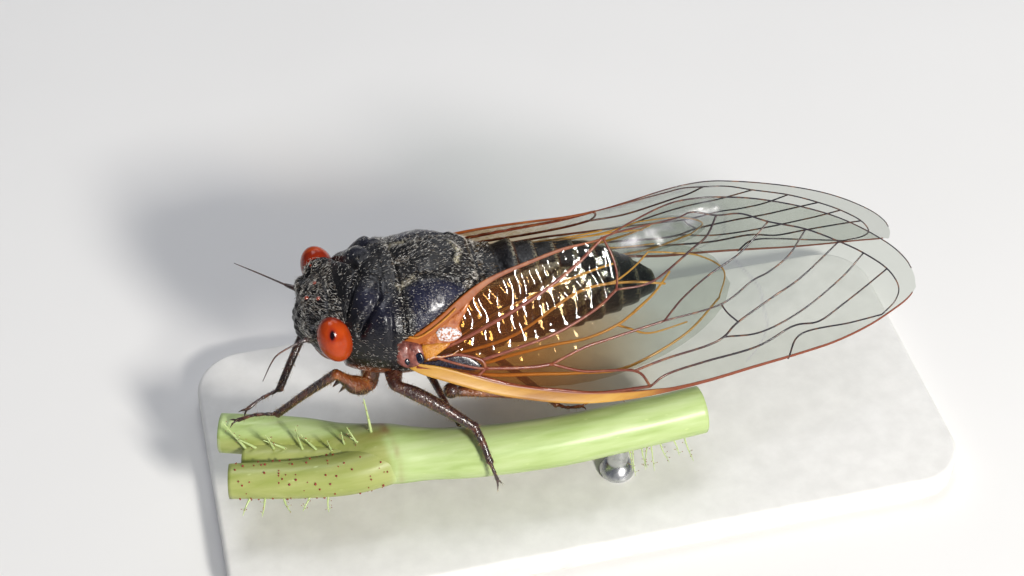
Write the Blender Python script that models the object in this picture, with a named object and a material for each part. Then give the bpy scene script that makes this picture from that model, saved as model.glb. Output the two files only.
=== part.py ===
# A periodical cicada sitting on a short cut cane, which a plain stand holds up.
# Everything is modelled in millimetres and scaled to metres when a piece is finished.
# +Z is up, the head points to -X and the insect's left side to -Y.
# The insect's own zero is the top of the pronotum's hind margin, on the midline.
# The part's origin is the middle of the base's underside, at BASE_MIDDLE from that zero.
import math

import bmesh
import bpy
from mathutils import Matrix, Vector
from mathutils.geometry import delaunay_2d_cdt

for old in list(bpy.data.objects):
    bpy.data.objects.remove(old)

MM = 0.001
GAP = 0.3                      # clear space between two pieces that touch
BASE_MIDDLE = Vector((10.0, -1.5, -15.4))

# Stations from the front backwards: x, top, waist (widest level), bottom, half width
HEAD_STATIONS = [
    (-5.80, -2.75, -3.05, -3.60, 0.85),
    (-5.50, -2.10, -2.80, -3.95, 1.55),
    (-5.10, -1.68, -2.60, -4.70, 2.20),
    (-4.55, -1.25, -2.60, -5.40, 2.65),
    (-4.00, -0.93, -2.60, -5.70, 2.85),
    (-3.20, -0.55, -2.60, -5.60, 2.95),
]
BODY_STATIONS = [
    (-3.60, -0.72, -3.10, -6.00, 3.10),
    (-3.00, -0.42, -3.20, -6.30, 3.40),
    (-2.00, -0.10, -3.20, -6.60, 3.80),
    (-1.00, 0.02, -3.30, -6.70, 4.10),
    (0.00, 0.00, -3.40, -6.75, 4.15),
    (1.00, 0.28, -3.40, -6.80, 4.00),
    (2.00, 0.35, -3.50, -6.80, 3.80),
    (3.00, 0.15, -3.50, -6.80, 3.55),
    (4.00, -0.15, -3.50, -6.80, 3.40),
    (4.70, -0.75, -3.50, -6.75, 3.30),
    (5.60, -0.85, -3.60, -6.70, 3.15),
    (6.50, -0.68, -3.70, -6.70, 3.05),
    (8.00, -0.85, -3.85, -6.55, 2.95),
    (9.60, -1.20, -4.00, -6.40, 2.75),
    (11.20, -1.75, -4.15, -6.25, 2.40),
    (12.80, -2.55, -4.40, -6.00, 1.90),
    (14.30, -3.60, -4.70, -5.75, 1.20),
    (15.40, -4.60, -5.00, -5.40, 0.45),
]
NECK, SUTURE, SCUTUM_END = -3.35, -0.12, 4.35    # where head, pronotum, mesonotum and metanotum part
SUTURE_LEAN = 0.18             # how far the pronotum's hind edge runs forward for each mm down
FLANK_LEVEL = -4.0             # the notum plates lie above it, the underside below it
ABDOMEN_FROM, ABDOMEN_TO = 5.5, 15.2
ABDOMEN_RINGS = 8
RING_STEP = 0.14               # how far each abdominal ring stands over the next
# Furrows and ridges of the back in plan view: from (x, y) to (x, y), width, depth (+ is a furrow)
BACK_LINES = [
    (-2.20, 0.30, -3.25, 2.25, 0.30, 0.24),
    (-1.40, 2.15, -2.60, 3.10, 0.32, 0.28),
    (-0.95, 0.00, -0.90, 2.90, 0.24, 0.18),
    (-0.90, 2.90, -1.10, 4.00, 0.24, 0.18),
    (-2.20, 0.30, -1.20, 0.95, 0.26, 0.12),
    (-0.10, 1.65, 0.85, 1.42, 0.30, 0.22),
    (0.85, 1.42, 3.20, 1.95, 0.32, 0.18),
    (3.05, 0.95, 4.25, -0.95, 0.26, -0.16),
]

EYE = {"middle": (-4.08, 2.88, -2.28), "radii": (0.95, 1.05, 1.50), "tilt": 12.0}
PLATE = {"middle": (-4.95, 1.60, -2.50), "radii": (0.76, 0.94, 0.50), "tilt": 35.0}
CLYPEUS = {"middle": (-4.75, 0.0, -3.35), "radii": (1.38, 1.25, 1.62), "back": -4.35, "ribs": 8}
OCELLI = [(-5.14, 0.0, -1.66), (-4.55, 0.62, -1.24), (-4.55, -0.62, -1.24)]
OCELLUS_RADIUS = 0.20
ANTENNA_ROOT = (-5.10, 1.90, -2.85)
ANTENNA_LEFT = [(-5.90, 2.12, -2.80), (-7.13, 2.50, -3.02), (-7.66, 2.70, -3.44), (-8.30, 3.05, -4.45)]
ANTENNA_RIGHT = [(-5.90, 2.30, -2.75), (-7.30, 3.20, -2.35), (-8.70, 3.95, -1.85)]
ROSTRUM = [(-4.60, 0.0, -5.70), (-4.20, 0.0, -6.40), (-3.20, 0.0, -7.00), (-1.40, 0.0, -7.45)]

# Forewing: hinge, tip, slope of the roof at the base and how much steeper it gets behind
WING_HINGE = Vector((-0.3, -4.3, -4.0))
WING_TIP = Vector((31.0, -2.2, -7.07))
ROOF_SLOPE, ROOF_TWIST = 55.0, 12.0
TWIST_FROM, TWIST_LENGTH = 9.0, 10.0
CAMBER = 1.25
WING_THICK = 0.5
VEIN_RISE = 0.20
HINDWING_INSET = 0.95          # from the forewing's middle surface to the hindwing's
# Outlines and veins as (along, across) from the hinge, across is positive towards the ridge
FOREWING_EDGE = [
    (0.0, -0.1), (1.8, -1.0), (3.9, -1.9), (5.9, -2.6), (8.6, -3.3), (10.7, -3.6), (13.7, -3.7),
    (17.5, -3.5), (20.6, -3.1), (24.0, -2.7), (26.0, -2.4), (28.2, -1.8), (29.9, -1.1), (31.0, -0.7),
    (31.6, 0.0), (31.4, 0.8), (30.7, 2.0), (29.2, 3.4), (26.4, 5.2), (23.7, 6.4), (20.8, 7.3),
    (18.7, 7.7), (17.2, 7.8), (15.5, 7.6), (13.3, 6.7), (11.6, 5.9), (9.1, 5.5), (7.3, 5.2),
    (5.0, 4.9), (2.7, 3.5), (1.2, 2.2), (0.3, 1.1), (-0.2, 0.4),
]
FOREWING_VEINS = {
    "costa": [(0.4, 0.0), (1.8, -0.4), (3.7, -1.0), (6.0, -1.9), (8.4, -2.5), (10.7, -3.0), (13.9, -3.1)],
    "basal_top": [(0.4, 0.6), (1.5, 0.4), (2.7, 0.4), (4.0, -0.1), (4.2, -0.6)],
    "basal_low": [(1.5, 0.4), (2.6, -0.1), (3.7, -0.5), (4.2, -0.6)],
    "arculus": [(4.2, -0.6), (3.7, -1.0)],
    "cubitus": [(4.0, -0.1), (6.1, 0.3), (8.6, 0.9), (10.8, 1.9), (12.1, 2.9)],
    "cubitus_end": [(12.1, 2.9), (12.2, 3.8), (12.0, 4.9), (11.6, 5.9)],
    "cubitus_branch": [(12.1, 2.9), (13.5, 3.0), (14.6, 3.4), (16.6, 4.9), (17.5, 5.6), (18.1, 6.7)],
    "anal": [(0.4, 0.6), (2.4, 1.0), (5.3, 2.1), (7.7, 3.2), (9.9, 4.5), (11.6, 5.9)],
    "media": [(4.2, -0.6), (6.7, -0.9), (8.0, -0.9)],
    "media_upper": [(8.0, -0.9), (10.0, -0.2), (11.5, 0.1), (14.8, 0.8)],
    "media_one": [(14.8, 0.8), (16.0, 2.1), (17.6, 3.3), (19.6, 4.4), (21.3, 5.9)],
    "media_two": [(14.8, 0.8), (18.3, 1.4), (20.2, 2.5), (21.3, 2.9), (22.6, 3.7), (23.7, 5.1)],
    "media_lower": [(8.0, -0.9), (9.9, -1.6), (12.9, -2.0), (13.9, -3.1)],
    "radius": [(12.9, -2.0), (15.0, -1.5), (17.4, -1.1), (18.5, -0.7), (19.4, 0.1), (21.6, 1.3),
               (23.4, 2.2), (25.9, 4.0)],
    "radius_cross": [(18.3, 1.4), (18.7, 0.8), (19.4, 0.1)],
    "radius_two": [(18.5, -0.7), (20.9, -0.8), (23.5, 0.1), (26.1, 1.7), (27.6, 3.0)],
    "radius_three": [(13.9, -3.1), (15.0, -2.5), (17.4, -2.1), (20.7, -1.7), (23.0, -0.8), (24.7, -0.8),
                     (26.3, 0.0), (29.3, 1.7)],
    "radius_four": [(22.8, -2.9), (23.6, -1.4), (26.9, -1.3), (29.1, -1.2)],
    "border": [(11.6, 5.9), (12.8, 6.2), (15.7, 6.7), (16.7, 7.0), (18.1, 6.7), (19.6, 6.6), (21.3, 5.9),
               (23.7, 5.1), (25.9, 4.0), (27.6, 3.0), (29.3, 1.7), (30.2, 0.4), (30.0, -0.5), (29.1, -1.2)],
}
HINDWING_EDGE = [
    (0.9, -0.2), (3.0, -1.2), (6.0, -2.1), (10.0, -2.5), (14.0, -2.0), (17.0, -0.8), (18.9, 0.9),
    (19.3, 2.5), (18.2, 4.0), (15.5, 5.0), (12.0, 4.7), (8.0, 4.2), (5.0, 3.6), (2.8, 2.4), (1.2, 1.0),
]
HINDWING_VEINS = {
    "front": [(1.4, 0.2), (5.0, -0.6), (9.0, -1.2), (13.0, -0.9), (16.4, 0.3), (17.8, 1.8)],
    "middle": [(1.4, 0.2), (5.0, 0.6), (8.8, 0.9), (11.2, 1.7), (14.5, 3.8)],
    "fork": [(8.8, 0.9), (12.0, 0.5), (14.6, 0.9), (17.0, 2.7)],
    "rear": [(1.4, 0.2), (4.5, 1.7), (8.0, 2.7), (11.0, 3.8)],
}

# Legs, from the root inside the body. Side -1 is the insect's left, +1 its right
LEGS = {
    "fore_left": {
        "coxa": [(-2.1, -1.9, -5.6), (-2.25, -2.45, -6.9)], "coxa_radius": 0.60,
        "femur": [(-2.2, -2.5, -6.95), (-3.2, -3.1, -6.0), (-4.25, -3.35, -4.55)], "thick": 0.62,
        "tibia": [(-4.25, -3.35, -4.55), (-6.0, -2.75, -6.4), (-7.7, -2.25, -8.25)],
        "tarsus": [(-7.7, -2.25, -8.25), (-8.9, -2.1, -8.15), (-10.0, -2.0, -8.45)],
    },
    "fore_right": {
        "coxa": [(-2.1, 1.9, -5.6), (-2.25, 2.35, -6.9)], "coxa_radius": 0.60,
        "femur": [(-2.2, 2.45, -6.93), (-3.25, 2.85, -6.3), (-4.3, 3.0, -5.2)], "thick": 0.62,
        "tibia": [(-4.3, 3.0, -5.2), (-5.9, 1.3, -6.8), (-7.3, -0.3, -8.35)],
        "tarsus": [(-7.3, -0.3, -8.35), (-8.4, -0.75, -8.35), (-9.3, -1.15, -8.6)],
    },
    "mid_left": {
        "coxa": [(-1.0, -3.0, -5.0), (-1.15, -4.5, -5.1)], "coxa_radius": 0.55,
        "femur": [(-1.2, -4.5, -5.05), (0.0, -5.0, -5.6), (1.5, -5.75, -6.5), (2.87, -6.5, -7.4)],
        "thick": 0.42,
        "tibia": [(2.87, -6.5, -7.4), (3.2, -7.25, -8.1), (3.45, -8.0, -8.95)],
        "tarsus": [(3.45, -8.0, -8.95), (3.6, -8.35, -9.45), (3.75, -8.45, -10.05)],
    },
    "mid_right": {
        "coxa": [(-0.6, 2.2, -6.0), (-0.5, 2.5, -7.3)], "coxa_radius": 0.55,
        "femur": [(-0.5, 2.5, -7.3), (0.4, 2.2, -8.5), (1.2, 1.7, -9.5)], "thick": 0.42,
        "tibia": [(1.2, 1.7, -9.5), (1.8, -0.8, -9.75), (2.3, -3.2, -10.1)],
        "tarsus": [(2.3, -3.2, -10.1), (2.5, -3.75, -10.2), (2.8, -4.25, -10.6)],
    },
    "hind_left": {
        "coxa": [(3.3, -1.9, -6.0), (3.6, -2.2, -7.2)], "coxa_radius": 0.60,
        "femur": [(3.6, -2.3, -7.2), (2.9, -3.4, -6.9), (2.0, -4.6, -6.2)], "thick": 0.50,
        "tibia": [(2.0, -4.6, -6.2), (5.8, -4.7, -7.45), (9.4, -4.85, -8.55)],
        "tarsus": [(9.4, -4.85, -8.55), (10.6, -4.95, -8.6), (11.6, -5.1, -8.65)],
    },
    "hind_right": {
        "coxa": [(3.3, 1.6, -6.0), (3.5, 1.8, -7.2)], "coxa_radius": 0.60,
        "femur": [(3.5, 1.8, -7.2), (4.1, 1.9, -8.3), (4.6, 1.8, -9.3)], "thick": 0.50,
        "tibia": [(4.6, 1.8, -9.3), (6.6, -1.1, -9.6), (8.4, -3.9, -9.85)],
        "tarsus": [(8.4, -3.9, -9.85), (8.9, -4.4, -9.7), (9.6, -4.75, -9.4)],
    },
}
TIBIA_RADIUS, TARSUS_RADIUS = 0.30, 0.26
FEMUR_SPINES = [(0.30, 0.55), (0.55, 0.80), (0.80, 0.55)]    # place along the fore femur, length

# Cane: middle line, and radius along it; the bract twig leaves it at the node
CANE_LINE = [(-11.0, -1.35, -10.0), (-8.8, -2.05, -10.0), (-6.6, -2.80, -10.0), (-4.5, -3.80, -10.0),
             (-2.1, -5.06, -10.0), (0.4, -5.70, -10.0), (3.3, -6.20, -10.0), (7.9, -6.50, -10.0),
             (13.4, -6.30, -10.0), (16.5, -6.10, -10.0)]
CANE_RADII = [1.15, 1.18, 1.20, 1.25, 1.72, 1.50, 1.48, 1.46, 1.42, 1.40]
TWIG_LINE = [(-11.0, -4.97, -10.1), (-7.1, -5.70, -10.15), (-4.2, -5.90, -10.15), (-1.9, -5.55, -10.05)]
TWIG_RADII = [1.00, 1.10, 1.25, 1.40]
SHEATH_LINE = [(-10.0, -3.35, -10.45), (-8.0, -3.88, -10.40), (-6.0, -4.38, -10.35), (-4.0, -4.90, -10.30), (-2.5, -5.30, -10.20)]
SHEATH_RADII = [0.45, 0.75, 0.90, 1.10, 1.20]

BASE_SIZE = (44.0, 20.0, 1.6)
BASE_CORNER = 3.0
ROD_RADIUS = 0.65
ROD_PLACES = {"stand_rod_front": (-6.3, -2.92), "stand_rod_back": (11.5, -6.38)}

COLOURS = {                    # base colour, roughness, metallic
    "black": ((0.018, 0.018, 0.024), 0.45, 0.0),
    "eye": ((0.80, 0.09, 0.01), 0.08, 0.0),
    "abdomen": ((0.045, 0.032, 0.024), 0.5, 0.0),
    "underside": ((0.36, 0.13, 0.04), 0.45, 0.0),
    "wing": ((0.75, 0.42, 0.16), 0.15, 0.0),
    "leg": ((0.10, 0.045, 0.03), 0.35, 0.0),
    "fore_femur": ((0.55, 0.18, 0.04), 0.4, 0.0),
    "cane": ((0.42, 0.60, 0.16), 0.45, 0.0),
    "base": ((0.80, 0.79, 0.76), 0.55, 0.0),
    "steel": ((0.62, 0.63, 0.65), 0.3, 1.0),
}

frame = bpy.data.objects.new("cicada_frame", None)
bpy.context.scene.collection.objects.link(frame)
frame.location = -BASE_MIDDLE * MM


# Shapes

def mix(a, b, t):
    return a + (b - a) * t


def smooth_step(t):
    t = min(max(t, 0.0), 1.0)
    return t * t * (3 - 2 * t)


def mirrored(point, side):
    return Vector((point[0], point[1] * side, point[2]))


def row_at(rows, x):
    """One row of a station table, read at x from a smooth curve through its rows."""
    last = len(rows) - 1
    i = next((k for k in range(last) if x <= rows[k + 1][0]), last - 1)
    a, b = rows[i], rows[i + 1]
    before, after = rows[max(i - 1, 0)], rows[min(i + 2, last)]
    span = b[0] - a[0]
    t = (x - a[0]) / span
    out = [x]
    for k in range(1, len(a)):
        slope_a = (b[k] - before[k]) / (b[0] - before[0]) * span
        slope_b = (after[k] - a[k]) / (after[0] - a[0]) * span
        out.append((2 * t**3 - 3 * t**2 + 1) * a[k] + (t**3 - 2 * t**2 + t) * slope_a
                   + (3 * t**2 - 2 * t**3) * b[k] + (t**3 - t**2) * slope_b)
    return out


def smooth_line(points, step):
    """A smooth line through the points that keeps each of them, with a point about every step."""
    pts = [Vector(p) for p in points]
    line = [pts[0]]
    for i in range(len(pts) - 1):
        a, b = pts[i], pts[i + 1]
        before = pts[i - 1] if i else a - (b - a)
        after = pts[i + 2] if i + 2 < len(pts) else b + (b - a)
        parts = max(1, round((b - a).length / step))
        for k in range(1, parts):
            t = k / parts
            line.append(0.5 * ((2 * a) + (b - before) * t + (2 * before - 5 * a + 4 * b - after) * t**2
                               + (3 * a - before - 3 * b + after) * t**3))
        line.append(b)
    return line


def closed_line(points, step):
    """The same round a closed outline, its last point left off."""
    pts = [Vector(p) for p in points]
    line = []
    for i, a in enumerate(pts):
        b, before, after = pts[(i + 1) % len(pts)], pts[i - 1], pts[(i + 2) % len(pts)]
        parts = max(1, round((b - a).length / step))
        for k in range(parts):
            t = k / parts
            line.append(0.5 * ((2 * a) + (b - before) * t + (2 * before - 5 * a + 4 * b - after) * t**2
                               + (3 * a - before - 3 * b + after) * t**3))
    return line


def loft(rings):
    """A closed body through rings of points, each end closed by a fan to its middle."""
    bm = bmesh.new()
    loops = [[bm.verts.new(p) for p in ring] for ring in rings]
    count = len(loops[0])
    for a, b in zip(loops, loops[1:]):
        for i in range(count):
            k = (i + 1) % count
            bm.faces.new((a[i], a[k], b[k], b[i]))
    for loop, turn in ((loops[0], True), (loops[-1], False)):
        middle = bm.verts.new(sum((v.co for v in loop), Vector()) / count)
        for i in range(count):
            k = (i + 1) % count
            bm.faces.new((loop[k], loop[i], middle) if turn else (loop[i], loop[k], middle))
    bmesh.ops.recalc_face_normals(bm, faces=bm.faces)
    return bm


def tube(path, radii, sides=8, round_ends=True):
    """A round limb along a path, with a radius at each point and domed ends."""
    path = [Vector(p) for p in path]
    ways = [(path[min(i + 1, len(path) - 1)] - path[max(i - 1, 0)]).normalized() for i in range(len(path))]
    across = ways[0].orthogonal().normalized()
    rings = []
    if round_ends:
        stations = [(path[0] - ways[0] * radii[0] * 0.72, radii[0] * 0.55, ways[0])]
    else:
        stations = []
    stations += list(zip(path, radii, ways))
    if round_ends:
        stations.append((path[-1] + ways[-1] * radii[-1] * 0.72, radii[-1] * 0.55, ways[-1]))
    for place, radius, way in stations:
        across = (across - way * across.dot(way)).normalized()
        up = way.cross(across)
        rings.append([place + (across * math.cos(a) + up * math.sin(a)) * radius
                      for a in (2 * math.pi * i / sides for i in range(sides))])
    return loft(rings)


def limb(points, radii, step=1.0, sides=8):
    """A tube on the smooth line through the points, its radius read from a few even values."""
    line = smooth_line(points, step)
    last = len(radii) - 1
    widths = []
    for i in range(len(line)):
        t = i / (len(line) - 1) * last
        k = min(int(t), last - 1)
        widths.append(mix(radii[k], radii[k + 1], t - k))
    return tube(line, widths, sides)


def ball(middle, radii, tilt=0.0, grow=0.0, segments=16, rings=10):
    """An egg shape, tilted about Y in degrees, grown by a fixed amount all round."""
    bm = bmesh.new()
    bmesh.ops.create_uvsphere(bm, u_segments=segments, v_segments=rings, radius=1.0)
    size = Matrix.Diagonal(Vector([r + grow for r in radii])).to_4x4()
    turn = Matrix.Rotation(math.radians(-tilt), 4, "Y")
    bm.transform(Matrix.Translation(Vector(middle)) @ turn @ size)
    return bm


def body_ring(row, sides, grow, fall):
    """One cross-section of the body: an oval whose upper and lower halves have their own height."""
    x, top, waist, bottom, half = row
    ring = []
    for i in range(sides):
        a = 2 * math.pi * i / sides
        c, s = math.cos(a), math.sin(a)
        power = fall[0] if s > 0 else fall[1]
        height = (top - waist if s > 0 else waist - bottom) + grow
        ring.append(Vector((x, (half + grow) * math.copysign(abs(c) ** fall[0], c),
                            waist + height * math.copysign(abs(s) ** power, s))))
    return ring


def body_form(stations, places, sides, grow=0.0, fall=(0.9, 1.0)):
    return [body_ring(row_at(stations, x), sides, grow, fall) for x in places]


def spread(start, end, count):
    return [mix(start, end, i / (count - 1)) for i in range(count)]


def line_depth(x, y):
    """How deep the furrows of the back go at a place, in plan view."""
    depth = 0.0
    for x0, y0, x1, y1, width, deep in BACK_LINES:
        for side in (1, -1):
            a, b = Vector((x0, y0 * side)), Vector((x1, y1 * side))
            p = Vector((x, y))
            t = min(max((p - a).dot(b - a) / (b - a).length_squared, 0.0), 1.0)
            away = (p - mix(a, b, t)).length
            depth = max(depth, deep * math.exp(-(away / width) ** 2), key=abs)
    return depth


def carve_back(rings):
    """Sinks the furrows and raises the ridges of the back into a loft's rings."""
    for ring in rings:
        for p in ring:
            if p.z > FLANK_LEVEL + 0.6:
                way = Vector((0, p.y * 0.6, p.z - FLANK_LEVEL)).normalized()
                p -= way * line_depth(p.x, p.y)
    return rings


# Objects and cuts

def as_object(bm, name="piece"):
    mesh = bpy.data.meshes.new(name)
    bmesh.ops.triangulate(bm, faces=bm.faces)
    bm.to_mesh(mesh)
    bm.free()
    obj = bpy.data.objects.new(name, mesh)
    bpy.context.scene.collection.objects.link(obj)
    return obj


def keep_largest(bm):
    """Leaves only the closed surface with the most volume."""
    left = set(bm.verts)
    shells = []
    while left:
        shell, edge = set(), [left.pop()]
        while edge:
            v = edge.pop()
            shell.add(v)
            for e in v.link_edges:
                w = e.other_vert(v)
                if w in left:
                    left.remove(w)
                    edge.append(w)
        shells.append(shell)

    def extent(shell):
        lows = [min(v.co[k] for v in shell) for k in range(3)]
        highs = [max(v.co[k] for v in shell) for k in range(3)]
        return sum(h - w for h, w in zip(highs, lows))

    best = max(shells, key=extent)
    bmesh.ops.delete(bm, geom=[v for v in bm.verts if v not in best], context="VERTS")


def combine(first, others, operation, solver="EXACT"):
    """One Boolean of a mesh with a collection of others, applied, the others then removed."""
    group = bpy.data.collections.new("cutters")
    bpy.context.scene.collection.children.link(group)
    extra = [as_object(bm) for bm in others]
    for obj in extra:
        group.objects.link(obj)
        obj.hide_render = True
    body = as_object(first)
    step = body.modifiers.new("join", "BOOLEAN")
    step.operation, step.solver = operation, solver
    step.operand_type, step.collection = "COLLECTION", group
    depsgraph = bpy.context.evaluated_depsgraph_get()
    bm = bmesh.new()
    bm.from_mesh(body.evaluated_get(depsgraph).to_mesh())
    for obj in extra + [body]:
        bpy.data.objects.remove(obj)
    bpy.data.collections.remove(group)
    bmesh.ops.remove_doubles(bm, verts=bm.verts, dist=0.002)
    keep_largest(bm)
    return bm


def union(pieces, solver="EXACT"):
    return combine(pieces[0], pieces[1:], "UNION", solver)


def cut(bm, cutters, solver="EXACT"):
    return combine(bm, cutters, "DIFFERENCE", solver)


def trim(bm, point, normal):
    """Cuts a body off flat at a plane and keeps what lies behind the plane's normal."""
    geom = bm.verts[:] + bm.edges[:] + bm.faces[:]
    bmesh.ops.bisect_plane(bm, geom=geom, plane_co=Vector(point), plane_no=Vector(normal).normalized(),
                           dist=0.001, clear_outer=True)
    bmesh.ops.holes_fill(bm, edges=[e for e in bm.edges if e.is_boundary], sides=0)
    bmesh.ops.remove_doubles(bm, verts=bm.verts, dist=0.002)
    bmesh.ops.recalc_face_normals(bm, faces=bm.faces)
    return bm


materials = {}


def material(key):
    if key not in materials:
        colour, roughness, metallic = COLOURS[key]
        made = bpy.data.materials.new(key)
        made.use_nodes = True
        shader = made.node_tree.nodes["Principled BSDF"]
        shader.inputs["Base Color"].default_value = (*colour, 1.0)
        shader.inputs["Roughness"].default_value = roughness
        shader.inputs["Metallic"].default_value = metallic
        materials[key] = made
    return materials[key]


def node(name, bm, finish):
    """Names a finished body, scales it to metres and hangs it on the part's frame."""
    bm.transform(Matrix.Scale(MM, 4))
    obj = as_object(bm, name)
    obj.data.materials.append(material(finish))
    obj.data.shade_smooth()
    obj.data.set_sharp_from_angle(angle=math.radians(40))
    obj.parent = frame
    return obj


# Wing surface

WING_SPAN = (WING_TIP - WING_HINGE).length
WING_ALONG = (WING_TIP - WING_HINGE).normalized()


def wing_point(u, v, lift=0.0):
    """A point of the left wing: u along it, v across it towards the ridge, lift outwards."""
    slope = math.radians(ROOF_SLOPE + ROOF_TWIST * smooth_step((u - TWIST_FROM) / TWIST_LENGTH))
    across = Vector((0, math.cos(slope), math.sin(slope)))
    across = (across - WING_ALONG * across.dot(WING_ALONG)).normalized()
    outward = WING_ALONG.cross(across)
    if outward.z < 0:
        outward = -outward
    swell = math.sin(math.pi * min(max(u / WING_SPAN, 0.0), 1.0)) ** 0.6
    height = CAMBER * swell * (1 - 0.25 * ((v - 1.5) / 5.0) ** 2)
    return WING_HINGE + WING_ALONG * u + across * v + outward * (height + lift)


def inside(point, outline):
    """Whether a flat point lies inside a closed outline."""
    hit = False
    for a, b in zip(outline, outline[1:] + outline[:1]):
        if (a.y > point.y) != (b.y > point.y):
            if point.x < a.x + (point.y - a.y) * (b.x - a.x) / (b.y - a.y):
                hit = not hit
    return hit


def nearest(point, lines):
    """Distance from a flat point to the closest of some lines."""
    best = 1e9
    for line in lines:
        for a, b in zip(line, line[1:]):
            t = min(max((point - a).dot(b - a) / max((b - a).length_squared, 1e-9), 0.0), 1.0)
            best = min(best, (point - a - (b - a) * t).length)
    return best


def grown_outline(outline, margin):
    """An outline that runs counter-clockwise, moved outwards by a margin."""
    grown = []
    for i, p in enumerate(outline):
        way = (outline[(i + 1) % len(outline)] - outline[i - 1]).normalized()
        grown.append(p + Vector((way.y, -way.x)) * margin)
    return grown


def flat_wing(edge, veins, flank=0.30, fill=2.2):
    """Triangles over a wing's outline, in wing measures, and which corners lie on a vein's crest."""
    ring = [Vector(p) for p in edge]
    lines = [smooth_line(line, 1.5) for line in veins.values()]
    points, links, crest = list(ring), [(i, (i + 1) % len(ring)) for i in range(len(ring))], set()
    for line in lines:
        first = len(points)
        points += line
        crest.update(range(first, first + len(line)))
        links += [(first + i, first + i + 1) for i in range(len(line) - 1)]
    rim = [ring + ring[:1]]
    for line in lines:
        others = [other for other in lines if other is not line]
        for i in range(1, len(line) - 1):
            way = (line[i + 1] - line[i - 1]).normalized() * flank
            for p in (line[i] + Vector((-way.y, way.x)), line[i] - Vector((-way.y, way.x))):
                if inside(p, ring) and nearest(p, others) > 0.75 * flank and nearest(p, rim) > 0.6 * flank:
                    points.append(p)
    u, row = min(p.x for p in ring), 0
    while u < max(p.x for p in ring):
        v = min(p.y for p in ring) + (fill / 2 if row % 2 else 0.0)
        while v < max(p.y for p in ring):
            p = Vector((u, v))
            if inside(p, ring) and nearest(p, lines + rim) > 0.4 * fill:
                points.append(p)
            v += fill
        u += fill * 0.87
        row += 1
    flat = delaunay_2d_cdt(points, links, [list(range(len(ring)))], 1, 0.02, True)
    return flat[0], flat[2], [not came or bool(crest.intersection(came)) for came in flat[3]]


def wing_plate(flat, side, low, high, rise=0.0):
    """A wing as one thin body: both faces have the same triangles, and the veins stand up on them."""
    points, triangles, raised = flat
    bm = bmesh.new()
    upper, lower = [[bm.verts.new(mirrored(wing_point(p.x, p.y, lift + step * up), -side))
                     for p, up in zip(points, raised)]
                    for lift, step in ((high, rise), (low, -0.3 * rise))]
    pairs = set()
    for a, b, c in triangles:
        bm.faces.new((upper[a], upper[b], upper[c]))
        bm.faces.new((lower[c], lower[b], lower[a]))
        pairs.update(((a, b), (b, c), (c, a)))
    for a, b in sorted(pairs):
        if (b, a) not in pairs:
            bm.faces.new((upper[b], upper[a], lower[a], lower[b]))
    for v in [v for v in bm.verts if not v.link_faces]:
        bm.verts.remove(v)
    bmesh.ops.recalc_face_normals(bm, faces=bm.faces)
    return bm


def wing_outline(edge, step=1.2, margin=0.0):
    outline = closed_line(edge, step)
    return grown_outline(outline, margin) if margin else outline


forewing_flat = flat_wing(wing_outline(FOREWING_EDGE), FOREWING_VEINS)
hindwing_flat = flat_wing(wing_outline(HINDWING_EDGE, 2.0), HINDWING_VEINS, fill=3.0)
forewing_room = flat_wing(wing_outline(FOREWING_EDGE, 2.5, GAP + 0.1), {})
hindwing_room = flat_wing(wing_outline(HINDWING_EDGE, 2.5, GAP + 0.1), {})


def wing_room():
    """The space that the closed wings take on both sides, with its gap, cut from the body."""
    half = WING_THICK / 2
    return ([wing_plate(forewing_room, side, -half - GAP - 0.05, 3.5) for side in (1, -1)]
            + [wing_plate(hindwing_room, side, -HINDWING_INSET - half - GAP - 0.03, -0.3) for side in (1, -1)])


def grown_body(grow=GAP, sides=20):
    """The whole trunk, grown by the gap, which cuts the root of whatever grows from it."""
    return loft(body_form(BODY_STATIONS, spread(-3.15 - grow, ABDOMEN_TO, 24), sides, grow))


def head_loft(grow=0.0, sides=28, count=10):
    return loft(body_form(HEAD_STATIONS, spread(-5.8 - 0.6 * grow, -3.2, count), sides, grow, (0.82, 1.2)))


def plate(side, grow=0.0):
    return ball(mirrored(PLATE["middle"], side), PLATE["radii"], -PLATE["tilt"], grow, 14, 8)


def eyes(grow=0.0, segments=16, rings=10):
    return [ball(mirrored(EYE["middle"], side), EYE["radii"], EYE["tilt"], grow, segments, rings)
            for side in (1, -1)]


def clypeus_form(grow=0.0, segments=16, rings=10):
    """The bulb of the face, flat behind where it is set into the head."""
    return trim(ball(CLYPEUS["middle"], CLYPEUS["radii"], 0.0, grow, segments, rings),
                (CLYPEUS["back"] + grow, 0, 0), (1, 0, 0))


# Pieces

def build_head():
    pieces = [head_loft(), plate(1), plate(-1)]
    pieces += [ball(p, (OCELLUS_RADIUS,) * 3, segments=8, rings=6) for p in OCELLI]
    head = cut(union(pieces), eyes(GAP) + [clypeus_form(GAP)])
    node("head", trim(head, (NECK - GAP / 2, 0, 0), (1, 0, 0)), "black")
    for eye, label in zip(eyes(0.0, 18, 11), ("right", "left")):
        node(f"eye_{label}", eye, "eye")


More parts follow.
